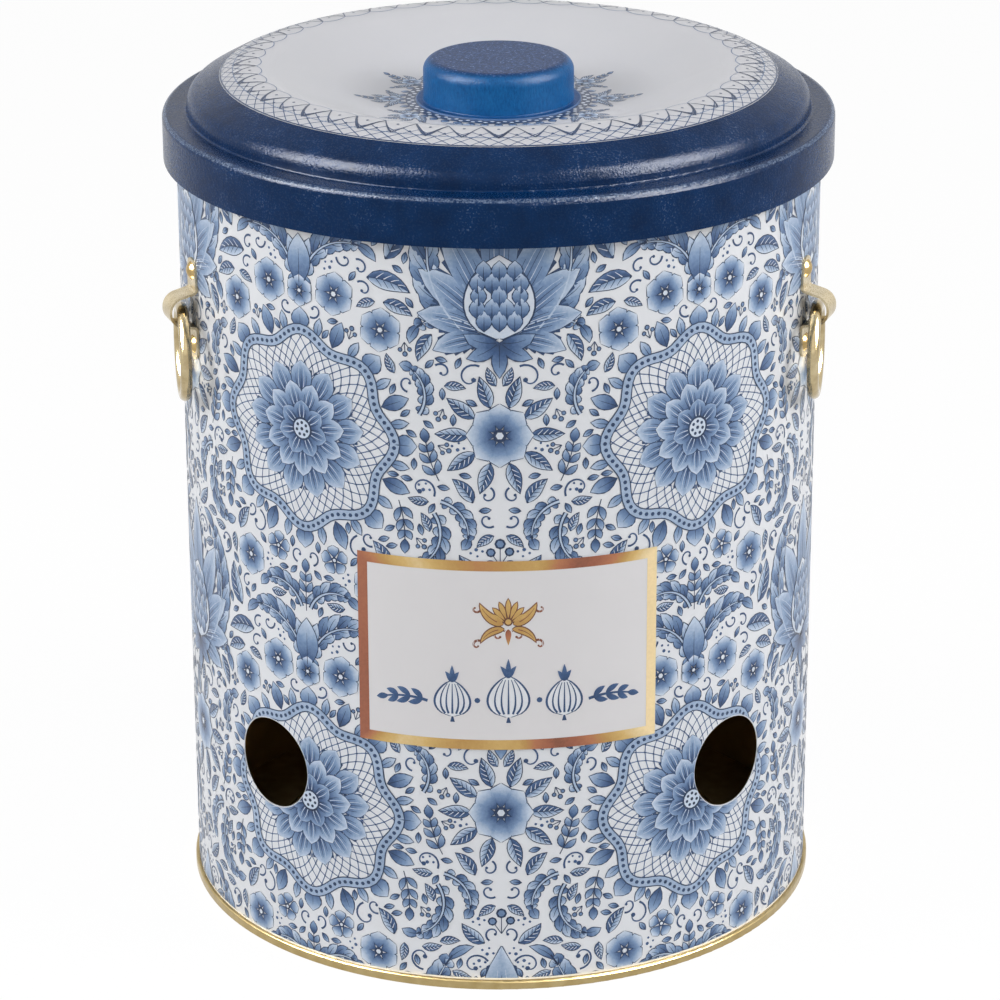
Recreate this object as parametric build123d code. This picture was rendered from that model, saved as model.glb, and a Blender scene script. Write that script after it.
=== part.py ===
from build123d import *
import math
import os

# Onion storage tin: a round tinplate canister with a slip lid, a pressed knob, four vent holes
# and a drop ring on each side. Millimetres, +Z up, the origin at the bottom centre of the base,
# the front at -Y.

# Sheet metal
SHEET = 0.4
FIT_GAP = 0.05
RUN_GAP = 0.3
SAME = 0.01

# Canister body
BODY_R = 90.0
MOUTH_Z = 229.2
MOUTH_CURL_R = 1.5
SIDE_SEAM_WIDTH = 5.0
SIDE_SEAM_LIFT = 0.2

# Vent holes
VENT_R = 13.1
VENT_Z = 57.3
VENT_ANGLE = 45.0

# Base end, seamed to the body
BASE_RIM_LIP = 1.1
BASE_RIM_HEIGHT = 2.6
BASE_SEAM_FLOOR = 0.9
BASE_PANEL_Z = 3.2
BASE_BEAD_R = 70.0
BASE_BEAD_WIDTH = 6.0
BASE_BEAD_RISE = 0.8
BASE_EDGE_ROUND = 0.25

# Lid
LID_SKIRT = 13.1
LID_SHOULDER_ROUND = 1.5
LID_HEM_HEIGHT = 3.0
LID_LEDGE = 6.7
LID_FOOT_ROUND = 0.8
DOME_LEAN = 0.4
DOME_WALL = 4.7
DOME_SHOULDER_IN = 10.6
DOME_SHOULDER_UP = 10.3
DOME_CREST_IN = 20.1
DOME_CREST_UP = 12.7
DISH_FOOT_R = 38.0
DISH_UP = 1.1
DOME_WALL_ROUND = 4.5
DOME_SHOULDER_ROUND = 30.0
DOME_CREST_ROUND = 16.0
DISH_ROUND = 40.0

# Knob
KNOB_R = 21.0
KNOB_HEIGHT = 12.0
KNOB_SHEET = 0.5
KNOB_EDGE_ROUND = 3.4
KNOB_BRIM = 2.0
KNOB_BRIM_ROUND = 0.4
KNOB_PLATE_THICK = 1.2
KNOB_BOSS_R = 4.0
KNOB_BOSS_LENGTH = 6.0

# Knob screw and washer
SCREW_R = 2.0
SCREW_LENGTH = 6.5
SCREW_HEAD_R = 4.0
SCREW_HEAD_HEIGHT = 2.4
SCREW_SLOT_WIDTH = 1.0
SCREW_SLOT_DEPTH = 1.1
SCREW_HOLE_R = 2.2
WASHER_R = 6.0
WASHER_THICK = 1.0

# Ring handles; the heights are counted up from the strap's foot
HANDLE_ANGLE = 69.0
HANDLE_DROP = 63.2
STRAP_SHEET = 0.7
STRAP_WIDTH = 7.2
STRAP_HEIGHT = 29.2
STRAP_END_ROUND = 3.5
RING_HANG_HEIGHT = 14.7
LOOP_LIFT = 0.1
LOOP_ROOM = 2.05
LOOP_LEG_FLARE = 1.8
LOOP_LEG_ROUND = 1.0
RING_WIRE_R = 1.65
RING_MEAN_R = 12.2
RING_WALL_ROOM = 2.15
RING_TURN = 12.5

# Handle rivets
RIVET_SHANK_R = 1.5
RIVET_HEAD_R = 2.6
RIVET_HEAD_HEIGHT = 1.3
RIVET_TAIL_R = 2.3
RIVET_TAIL_HEIGHT = 1.0
RIVET_LOWER_HEIGHT = 4.3
RIVET_UPPER_HEIGHT = 25.6
BURR_R = 4.0
BURR_THICK = 0.6

# Sizes that follow from the ones above
BODY_INNER_R = BODY_R - SHEET
BODY_FOOT_Z = BASE_SEAM_FLOOR + 2 * FIT_GAP
CURL_CENTRE_R = BODY_INNER_R + MOUTH_CURL_R
CURL_CENTRE_Z = MOUTH_Z - MOUTH_CURL_R
HEM_INNER_R = CURL_CENTRE_R + MOUTH_CURL_R + RUN_GAP
SKIRT_INNER_R = HEM_INNER_R + SHEET
SKIRT_R = SKIRT_INNER_R + SHEET
LEDGE_Z = MOUTH_Z + RUN_GAP + SHEET
SKIRT_FOOT_Z = LEDGE_Z - LID_SKIRT
DOME_FOOT_R = SKIRT_R - LID_LEDGE
DISH_Z = LEDGE_Z + DISH_UP
DISH_UNDER_Z = DISH_Z - SHEET
STRAP_BACK_R = BODY_R + FIT_GAP
STRAP_FOOT_Z = MOUTH_Z - HANDLE_DROP
RING_PIVOT_R = BODY_R + RING_WALL_ROOM + RING_WIRE_R
RING_PIVOT_Z = STRAP_FOOT_Z + RING_HANG_HEIGHT
LOOP_MIDDLE_Z = RING_PIVOT_Z + LOOP_LIFT
LOOP_BEND_R = RING_WIRE_R + LOOP_ROOM + STRAP_SHEET / 2
LOOP_REACH = RING_PIVOT_R + LOOP_BEND_R - STRAP_BACK_R
LOOP_LEG_DROP = LOOP_LEG_FLARE * (LOOP_REACH - LOOP_BEND_R) / LOOP_REACH
LOOP_OUTER_HALF = LOOP_BEND_R - LOOP_LEG_FLARE * LOOP_BEND_R / LOOP_REACH + LOOP_LEG_DROP / 4
LOOP_FOOT_HALF = LOOP_OUTER_HALF + LOOP_LEG_FLARE
RIVET_HOLE_R = RIVET_SHANK_R + FIT_GAP


def ring_solid(section):
    """Turn a section, drawn as (radius, height), into a solid of revolution about Z."""
    return revolve(Plane.XZ * section, Axis.Z, 360)


def box_section(r_low, r_high, z_low, z_high):
    """A rectangle in (radius, height)."""
    return Pos((r_low + r_high) / 2, (z_low + z_high) / 2) * Rectangle(r_high - r_low, z_high - z_low)


def circles_at(solid, height):
    """The round edges of a turned solid that lie at a height."""
    return [edge for edge in solid.edges().filter_by(GeomType.CIRCLE)
            if abs(edge.center(CenterOf.BOUNDING_BOX).Z - height) < SAME]


def facing(angle, radius, height):
    """A place on the wall whose local X points outwards, at an angle from the front, right positive."""
    turn = math.radians(angle - 90)
    return Location((radius * math.cos(turn), radius * math.sin(turn), height), (0, 0, angle - 90))


def radial_rod(angle, height, rod_r, r_low, r_high):
    """A rod along the radius, used to pierce the wall."""
    rod = Rot(0, 90, 0) * Cylinder(rod_r, r_high - r_low, align=(Align.CENTER, Align.CENTER, Align.MIN))
    return facing(angle, r_low, height) * rod


def handle_angles():
    """The two sides that carry a ring."""
    return {"left": -HANDLE_ANGLE, "right": HANDLE_ANGLE}


def rivet_heights():
    """The two rivets of each strap."""
    return {"upper": STRAP_FOOT_Z + RIVET_UPPER_HEIGHT, "lower": STRAP_FOOT_Z + RIVET_LOWER_HEIGHT}


def make_body_shell():
    """The rolled wall with its mouth curled outwards, its seam at the back and its pierced holes."""
    wall = box_section(BODY_INNER_R, BODY_R, BODY_FOOT_Z, CURL_CENTRE_Z)
    curl = Circle(MOUTH_CURL_R) - Circle(MOUTH_CURL_R - SHEET)
    curl -= Pos(-MOUTH_CURL_R / 2 + SHEET, -MOUTH_CURL_R) * Rectangle(MOUTH_CURL_R, 2 * MOUTH_CURL_R)
    curl = Pos(CURL_CENTRE_R, CURL_CENTRE_Z) * curl
    shell = ring_solid(wall + curl)
    lap_low = BASE_RIM_HEIGHT + RUN_GAP
    lap_high = SKIRT_FOOT_Z - RUN_GAP
    lap = ring_solid(box_section(BODY_R - SHEET / 2, BODY_R + SIDE_SEAM_LIFT, lap_low, lap_high))
    lap &= Pos(0, BODY_R, (lap_low + lap_high) / 2) * Box(SIDE_SEAM_WIDTH, 4, lap_high - lap_low)
    shell += lap
    for angle in (VENT_ANGLE, -VENT_ANGLE, 180 - VENT_ANGLE, VENT_ANGLE - 180):
        shell -= radial_rod(angle, VENT_Z, VENT_R, BODY_R / 2, BODY_R + 5)
    for angle in handle_angles().values():
        for height in rivet_heights().values():
            shell -= radial_rod(angle, height, RIVET_HOLE_R, BODY_R - 5, BODY_R + 5)
    return shell


def make_base_end():
    """The pressed bottom: a recessed panel, its chuck wall and the seam that grips the wall's foot."""
    chuck_out_r = BODY_INNER_R - FIT_GAP
    chuck_in_r = chuck_out_r - SHEET
    rim_r = BODY_R + BASE_RIM_LIP
    rim = box_section(chuck_in_r, rim_r, 0, BASE_SEAM_FLOOR)
    rim += box_section(BODY_R + FIT_GAP, rim_r, 0, BASE_RIM_HEIGHT)
    rim += box_section(chuck_in_r, chuck_out_r, 0, BASE_PANEL_Z + SHEET)
    bead_in = BASE_BEAD_R - BASE_BEAD_WIDTH / 2
    bead_out = BASE_BEAD_R + BASE_BEAD_WIDTH / 2
    rise_z = BASE_PANEL_Z + BASE_BEAD_RISE
    rim += box_section(0, bead_in + SHEET, BASE_PANEL_Z, BASE_PANEL_Z + SHEET)
    rim += box_section(bead_in, bead_in + SHEET, BASE_PANEL_Z, rise_z + SHEET)
    rim += box_section(bead_in, bead_out, rise_z, rise_z + SHEET)
    rim += box_section(bead_out - SHEET, bead_out, BASE_PANEL_Z, rise_z + SHEET)
    rim += box_section(bead_out - SHEET, chuck_out_r, BASE_PANEL_Z, BASE_PANEL_Z + SHEET)
    end = ring_solid(rim)
    end = fillet(circles_at(end, 0), BASE_EDGE_ROUND)
    lip = [edge for edge in circles_at(end, BASE_RIM_HEIGHT) if abs(edge.radius - rim_r) < SAME]
    return fillet(lip, 2 * BASE_EDGE_ROUND)


def make_lid_shell():
    """The slip lid: hemmed skirt, flat ledge, raised dome and a dish that the knob stands in."""
    half = SHEET / 2
    corners = [
        (SKIRT_R - half, SKIRT_FOOT_Z),
        (SKIRT_R - half, LEDGE_Z - half),
        (DOME_FOOT_R - half, LEDGE_Z - half),
        (DOME_FOOT_R - DOME_LEAN - half, LEDGE_Z + DOME_WALL - half),
        (DOME_FOOT_R - DOME_SHOULDER_IN, LEDGE_Z + DOME_SHOULDER_UP - half),
        (DOME_FOOT_R - DOME_CREST_IN, LEDGE_Z + DOME_CREST_UP - half),
        (DISH_FOOT_R, DISH_Z - half),
        (SCREW_HOLE_R, DISH_Z - half),
    ]
    rounds = [LID_SHOULDER_ROUND, LID_FOOT_ROUND, DOME_WALL_ROUND, DOME_SHOULDER_ROUND,
              DOME_CREST_ROUND, DISH_ROUND]
    path = FilletPolyline(*corners, radius=rounds)
    section = trace(path, line_width=SHEET)
    section += box_section(HEM_INNER_R, SKIRT_R, SKIRT_FOOT_Z, SKIRT_FOOT_Z + LID_HEM_HEIGHT)
    return ring_solid(section)


def make_knob_cap():
    """The pressed drum knob: flat top, rounded edge and an out-turned brim on the dish."""
    half = KNOB_SHEET / 2
    corners = [
        (0, DISH_Z + KNOB_HEIGHT - half),
        (KNOB_R - half, DISH_Z + KNOB_HEIGHT - half),
        (KNOB_R - half, DISH_Z + half),
        (KNOB_R + KNOB_BRIM, DISH_Z + half),
    ]
    path = FilletPolyline(*corners, radius=[KNOB_EDGE_ROUND - half, KNOB_BRIM_ROUND + half])
    return ring_solid(trace(path, line_width=KNOB_SHEET))


def make_knob_plate():
    """The plate fixed inside the knob, with the tapped boss that takes the screw."""
    rim_r = KNOB_R - KNOB_SHEET - FIT_GAP
    low = DISH_Z + KNOB_SHEET + KNOB_BRIM_ROUND
    plate = box_section(SCREW_R + FIT_GAP, rim_r, low, low + KNOB_PLATE_THICK)
    boss = box_section(SCREW_R + FIT_GAP, KNOB_BOSS_R, low, low + KNOB_BOSS_LENGTH)
    return ring_solid(plate + boss)


def make_knob_screw():
    """The slotted pan-head screw, put in from under the lid."""
    head_high = DISH_UNDER_Z - WASHER_THICK
    head_low = head_high - SCREW_HEAD_HEIGHT
    head = box_section(0, SCREW_HEAD_R, head_low, head_high)
    shank = box_section(0, SCREW_R, head_high, head_high + SCREW_LENGTH)
    screw = ring_solid(head + shank)
    screw = fillet(circles_at(screw, head_low), SCREW_HEAD_HEIGHT / 3)
    slot = Box(3 * SCREW_HEAD_R, SCREW_SLOT_WIDTH, SCREW_SLOT_DEPTH)
    return screw - Pos(0, 0, head_low + SCREW_SLOT_DEPTH / 2) * slot


def make_knob_washer():
    """The flat washer between the screw head and the underside of the dish."""
    return ring_solid(box_section(SCREW_HOLE_R, WASHER_R, DISH_UNDER_Z - WASHER_THICK, DISH_UNDER_Z))


def make_strap(angle):
    """One folded strap: two riveted legs with the loop that carries the ring between them."""
    back = STRAP_SHEET / 2
    corners = [
        (back, STRAP_FOOT_Z),
        (back, LOOP_MIDDLE_Z - LOOP_FOOT_HALF),
        (LOOP_REACH, LOOP_MIDDLE_Z - LOOP_OUTER_HALF),
        (LOOP_REACH, LOOP_MIDDLE_Z + LOOP_OUTER_HALF),
        (back, LOOP_MIDDLE_Z + LOOP_FOOT_HALF),
        (back, STRAP_FOOT_Z + STRAP_HEIGHT),
    ]
    rounds = [LOOP_LEG_ROUND, LOOP_BEND_R, LOOP_BEND_R, LOOP_LEG_ROUND]
    side = trace(FilletPolyline(*corners, radius=rounds), line_width=STRAP_SHEET)
    band = extrude(Plane.XZ * side, STRAP_WIDTH / 2, both=True)
    outline = RectangleRounded(STRAP_WIDTH + SAME, STRAP_HEIGHT, STRAP_END_ROUND)
    blank = extrude(Plane.YZ * outline, 2 * LOOP_REACH, both=True)
    band &= Pos(0, 0, STRAP_FOOT_Z + STRAP_HEIGHT / 2) * blank
    strap = facing(angle, STRAP_BACK_R, 0) * band
    for height in rivet_heights().values():
        strap -= radial_rod(angle, height, RIVET_HOLE_R, BODY_R - 2, BODY_R + 2)
    return strap


def make_ring(angle):
    """One drop ring, hanging in its loop and turned a little towards the tin's side."""
    away = angle + math.copysign(RING_TURN, angle)
    place = facing(angle, RING_PIVOT_R, RING_PIVOT_Z - RING_MEAN_R)
    centre = Pos(place.position)
    return centre * Rot(0, 0, away - 90) * Rot(0, 90, 0) * Torus(RING_MEAN_R, RING_WIRE_R)


def make_rivet(angle, height):
    """One rivet: domed head on the strap, shank through the wall and a flat tail on the burr."""
    seat = (Align.CENTER, Align.CENTER, Align.MIN)
    face = STRAP_SHEET
    tail = burr_face_r() - BURR_THICK - STRAP_BACK_R
    ball_r = (RIVET_HEAD_R ** 2 + RIVET_HEAD_HEIGHT ** 2) / (2 * RIVET_HEAD_HEIGHT)
    ball = Pos(0, 0, face + RIVET_HEAD_HEIGHT - ball_r) * Sphere(ball_r)
    head = ball & (Pos(0, 0, face) * Cylinder(2 * RIVET_HEAD_R, ball_r, align=seat))
    shank = Pos(0, 0, tail) * Cylinder(RIVET_SHANK_R, face - tail + RIVET_HEAD_HEIGHT / 2, align=seat)
    foot = Pos(0, 0, tail - RIVET_TAIL_HEIGHT) * Cylinder(RIVET_TAIL_R, RIVET_TAIL_HEIGHT, align=seat)
    foot = fillet(foot.faces().sort_by(Axis.Z)[0].edges(), RIVET_TAIL_HEIGHT / 3)
    return facing(angle, STRAP_BACK_R, height) * Rot(0, 90, 0) * (head + shank + foot)


def burr_face_r():
    """Where the outer face of a flat burr lies, clear of the curved inside of the wall."""
    return math.sqrt(BODY_INNER_R ** 2 - BURR_R ** 2) - 2 * FIT_GAP


def make_burr(angle, height):
    """One flat burr washer, under the rivet's tail inside the tin."""
    outer = burr_face_r()
    disc = radial_rod(angle, height, BURR_R, outer - BURR_THICK, outer)
    return disc - radial_rod(angle, height, RIVET_HOLE_R, outer - 2 * BURR_THICK, outer + BURR_THICK)


def make_parts():
    """Every piece of the tin by its node name."""
    parts = {
        "body_shell": make_body_shell(),
        "base_end": make_base_end(),
        "lid_shell": make_lid_shell(),
        "knob_cap": make_knob_cap(),
        "knob_plate": make_knob_plate(),
        "knob_screw": make_knob_screw(),
        "knob_washer": make_knob_washer(),
    }
    for side, angle in handle_angles().items():
        parts[f"{side}_strap"] = make_strap(angle)
        parts[f"{side}_ring"] = make_ring(angle)
        for level, height in rivet_heights().items():
            parts[f"{side}_{level}_rivet"] = make_rivet(angle, height)
            parts[f"{side}_{level}_burr"] = make_burr(angle, height)
    return parts


os.makedirs("parts", exist_ok=True)
for name, shape in make_parts().items():
    export_step(shape, f"parts/{name}.step")
    print(name, len(shape.solids()), round(shape.volume, 2))
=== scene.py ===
"""Looks of the onion storage tin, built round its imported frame.

A round printed tin with a navy slip lid, a blue knob, air vents, brass drop rings and a framed
label. The wall's print is an own design in blues on white: flat inked shapes, worked out in
millimetres on the unrolled wall and then bent round it.
"""
from __future__ import annotations

import sys

import logging
import math
from dataclasses import dataclass, field, replace
from enum import Enum
from functools import cached_property
from typing import Callable

import bpy
import numpy as np
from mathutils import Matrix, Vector


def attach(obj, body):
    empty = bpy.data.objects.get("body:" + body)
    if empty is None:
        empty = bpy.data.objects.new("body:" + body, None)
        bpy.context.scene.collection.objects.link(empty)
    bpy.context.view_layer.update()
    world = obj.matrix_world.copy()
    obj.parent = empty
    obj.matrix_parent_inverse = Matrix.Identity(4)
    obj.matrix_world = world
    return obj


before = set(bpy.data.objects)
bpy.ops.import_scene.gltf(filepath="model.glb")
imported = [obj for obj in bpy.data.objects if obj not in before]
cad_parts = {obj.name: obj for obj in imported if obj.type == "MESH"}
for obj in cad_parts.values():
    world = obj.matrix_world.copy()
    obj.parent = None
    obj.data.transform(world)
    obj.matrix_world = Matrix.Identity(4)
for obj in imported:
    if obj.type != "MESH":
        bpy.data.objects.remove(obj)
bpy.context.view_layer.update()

log = logging.getLogger("tin")
MM = 0.001
Socket = bpy.types.NodeSocket
Value = float | tuple | str | Socket


# Writing materials

def linear(code: str) -> tuple[float, float, float, float]:
    """Turn an sRGB hex colour into linear RGBA.

    Args:
        code: six hex digits.
    Returns:
        the linear colour with full alpha.
    """
    raw = np.array([int(code[i:i + 2], 16) for i in (0, 2, 4)]) / 255
    lin = np.where(raw <= 0.04045, raw / 12.92, ((raw + 0.055) / 1.055) ** 2.4)
    return (*lin.tolist(), 1.0)


def cloud(size_mm: float, detail: float = 3.0, rough: float = 0.55) -> dict[str, float]:
    """Settings of a noise whose features have a real size.

    Args:
        size_mm: size of the largest features.
        detail: octaves.
        rough: how strong the fine octaves are.
    Returns:
        the noise's inputs by name.
    """
    return {"Scale": 1.0 / size_mm, "Detail": detail, "Roughness": rough}


class Recipe:
    """The node tree of a material or of the world, written one node at a time. Places on the tin
    come from its Object coordinates."""

    def __init__(self, owner: bpy.types.Material | bpy.types.World) -> None:
        """Keep the owner and its tree."""
        owner.use_nodes = True
        self.owner, self.tree = owner, owner.node_tree

    @classmethod
    def material(cls, name: str) -> Recipe:
        """Start a new material's tree."""
        return cls(bpy.data.materials.new(name))

    def plug(self, target: Socket, value: Value) -> None:
        """Link an input, or set it.

        Args:
            target: the input.
            value: a socket that is linked to it, or a number, a vector or a hex colour.
        """
        if isinstance(value, Socket):
            self.tree.links.new(value, target)
        else:
            target.default_value = linear(value) if isinstance(value, str) else value

    def add(self, kind: str, *values: Value, out: int | str = 0, **named: Value) -> Socket:
        """Add a node with its settings and links.

        Args:
            kind: the node's type without its ShaderNode, then its operation if it has one.
            values: what its open inputs take, in order.
            out: which of its open outputs is returned, by place or by name.
            named: the node's own settings in small letters, and inputs by name with a capital.
        Returns:
            the output's socket.
        """
        kind, _, operation = kind.partition(" ")
        node = self.tree.nodes.new("ShaderNode" + kind)
        if operation:
            node.operation = operation
        for key in [key for key in named if key[0].islower()]:
            setattr(node, key, named.pop(key))
        for target, value in zip([socket for socket in node.inputs if socket.enabled], values):
            self.plug(target, value)
        self.settle(node, **named)
        return node.outputs[out] if isinstance(out, str) else \
            [socket for socket in node.outputs if socket.enabled][out]

    def own(self, kind: str) -> bpy.types.Node:
        """The node of a kind that the tree came with."""
        return next(node for node in self.tree.nodes if node.type == kind)

    def settle(self, node: bpy.types.Node, **inputs: Value) -> None:
        """Set or link a node's inputs by name, with underscores for spaces."""
        for name, value in inputs.items():
            self.plug(node.inputs[name.replace("_", " ")], value)

    def shade(self, **inputs: Value) -> bpy.types.Material:
        """Settle the material's Principled shader and return the material."""
        self.settle(self.own("BSDF_PRINCIPLED"), **inputs)
        return self.owner

    @cached_property
    def point(self) -> Socket:
        """The place in millimetres."""
        return self.add("VectorMath SCALE", self.add("TexCoord", out="Object"), Scale=1.0 / MM)

    @cached_property
    def radius(self) -> Socket:
        """Distance from the tin's axis: the root of x squared plus y squared.

        Returns:
            the distance in millimetres.
        """
        x, y, _ = self.add("SeparateXYZ", self.point).node.outputs
        squares = [self.add("Math POWER", side, 2.0) for side in (x, y)]
        return self.add("Math SQRT", self.add("Math ADD", *squares))

    @cached_property
    def height(self) -> Socket:
        """Height above the floor in millimetres."""
        return self.add("SeparateXYZ", self.point, out="Z")

    def clouded(self, size_mm: float, detail: float, first: Value, second: Value) -> Socket:
        """Two shades that drift into each other.

        Args:
            size_mm: size of the clouds.
            detail: octaves.
            first: one shade.
            second: the other shade.
        Returns:
            the colour's socket.
        """
        drift = self.add("TexNoise", self.point, **cloud(size_mm, detail))
        return self.add("Mix", drift, first, second, data_type="RGBA")


# Finishes

@dataclass(frozen=True)
class Varnish:
    """Clear varnish over print: a soft gloss that wanders a little, on the faint orange peel of
    the sheet."""

    wave_mm: float = 3.0
    smooth: float = 0.27
    spread: float = 0.06
    specular: float = 0.35
    peel_depth_mm: float = 0.004
    peel_mm: float = 1.2

    def coat(self, made: Recipe) -> dict[str, Value]:
        """What the varnish gives a shader.

        Args:
            made: the recipe that it is written into.
        Returns:
            the shader's inputs by name.
        """
        wave = made.add("TexNoise", made.point, **cloud(self.wave_mm, 2.0))
        coat = {"Roughness": made.add("Math MULTIPLY_ADD", wave, self.spread, self.smooth),
                "Specular_IOR_Level": self.specular}
        if self.peel_depth_mm:
            peel = made.add("TexNoise", made.point, **cloud(self.peel_mm, 2.0))
            coat["Normal"] = made.add("Bump", Height=peel, Distance=self.peel_depth_mm * MM, Strength=0.4)
        return coat


@dataclass(frozen=True)
class PrintedTinplate:
    """Tinplate, litho-printed and varnished outside, gold-lacquered inside: a soft gloss on the
    white ground, and a warm dark mirror where the vents show the inside."""

    name: str = "printed_tinplate"
    ground: str = "e2e4e8"
    ground_warm: str = "dee0e4"
    ground_mm: float = 14.0
    lacquer: str = "6a5430"
    lacquer_dark: str = "524023"
    lacquer_mm: float = 6.0
    skin_r: float = 89.8
    curl_z: float = 226.0

    def build(self) -> bpy.types.Material:
        """Make the material: print outside the skin's radius and under the curl, lacquer elsewhere.

        Returns:
            the material.
        """
        made = Recipe.material(self.name)
        outside = made.add("Math MULTIPLY", made.add("Math GREATER_THAN", made.radius, self.skin_r),
                           made.add("Math LESS_THAN", made.height, self.curl_z))
        paper = made.clouded(self.ground_mm, 4.0, self.ground, self.ground_warm)
        gold = made.clouded(self.lacquer_mm, 4.0, self.lacquer, self.lacquer_dark)
        return made.shade(Base_Color=made.add("Mix", outside, gold, paper, data_type="RGBA"),
                          Metallic=made.add("Math SUBTRACT", 1.0, outside), **Varnish().coat(made))


@dataclass(frozen=True)
class LithoInk:
    """Litho ink under varnish. The piece's own tone attribute, from 0 for dark to 1 for pale, picks
    the shade; a mottle, and slow clouds where there are some, keep the fills from looking flat.
    Both are a size in millimetres, octaves, roughness and the reach of tone that they move."""

    name: str
    shades: tuple[tuple[float, str], ...]
    mottle: tuple[float, ...]
    wash: tuple[float, ...] | None = None
    varnish: Varnish = Varnish()

    def build(self) -> bpy.types.Material:
        """Make the material.

        Returns:
            the material.
        """
        made = Recipe.material(self.name)
        level = made.add("Attribute", attribute_name="tone", out="Fac")
        drifts = [drift for drift in (self.mottle, self.wash) if drift]
        for i, (*look, reach) in enumerate(drifts, 1):
            drift = made.add("TexNoise", made.point, **cloud(*look))
            drift = made.add("Math MULTIPLY_ADD", drift, reach, -reach / 2)
            level = made.add("Math ADD", level, drift, use_clamp=i == len(drifts))
        colour = made.add("ValToRGB", level)
        stops = colour.node.color_ramp.elements
        stops.remove(stops[1])
        stops[0].position, stops[0].color = self.shades[0][0], linear(self.shades[0][1])
        for spot, code in self.shades[1:]:
            stops.new(spot).color = linear(code)
        return made.shade(Base_Color=colour, **self.varnish.coat(made))


class Ink(Enum):
    """The printed inks: four blues that run into each other as dots of screen do, and a gradient
    from copper brown to pale gold."""

    BLUE = LithoInk("blue_litho_ink",
                    ((0.0, "182945"), (0.25, "395681"), (0.5, "7792b6"), (0.75, "bbcadd"), (1.0, "e2e4e8")),
                    (0.9, 3.0, 0.7, 0.22), (7.0, 2.0, 0.55, 0.2))
    GOLD = LithoInk("printed_gold_ink",
                    ((0.0, "55382a"), (0.2, "9c5c42"), (0.35, "b4744f"), (0.5, "bb9150"), (0.7, "d3b06c"),
                     (0.85, "e4cc99"), (1.0, "fbe2b1")),
                    (1.0, 3.0, 0.7, 0.16), varnish=Varnish(2.0, 0.26, 0.08, 0.4, 0.0))


@dataclass(frozen=True)
class LabelWhite:
    """Printed white panel under varnish, a little cooler and cleaner than the wall's ground."""

    name: str = "label_white_ink"
    tint: str = "dddbdc"
    tint_cool: str = "dad8da"
    cloud_mm: float = 20.0

    def build(self) -> bpy.types.Material:
        """Make the material."""
        made = Recipe.material(self.name)
        return made.shade(Base_Color=made.clouded(self.cloud_mm, 3.0, self.tint, self.tint_cool),
                          **Varnish(2.0, peel_depth_mm=0.0).coat(made))


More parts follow.
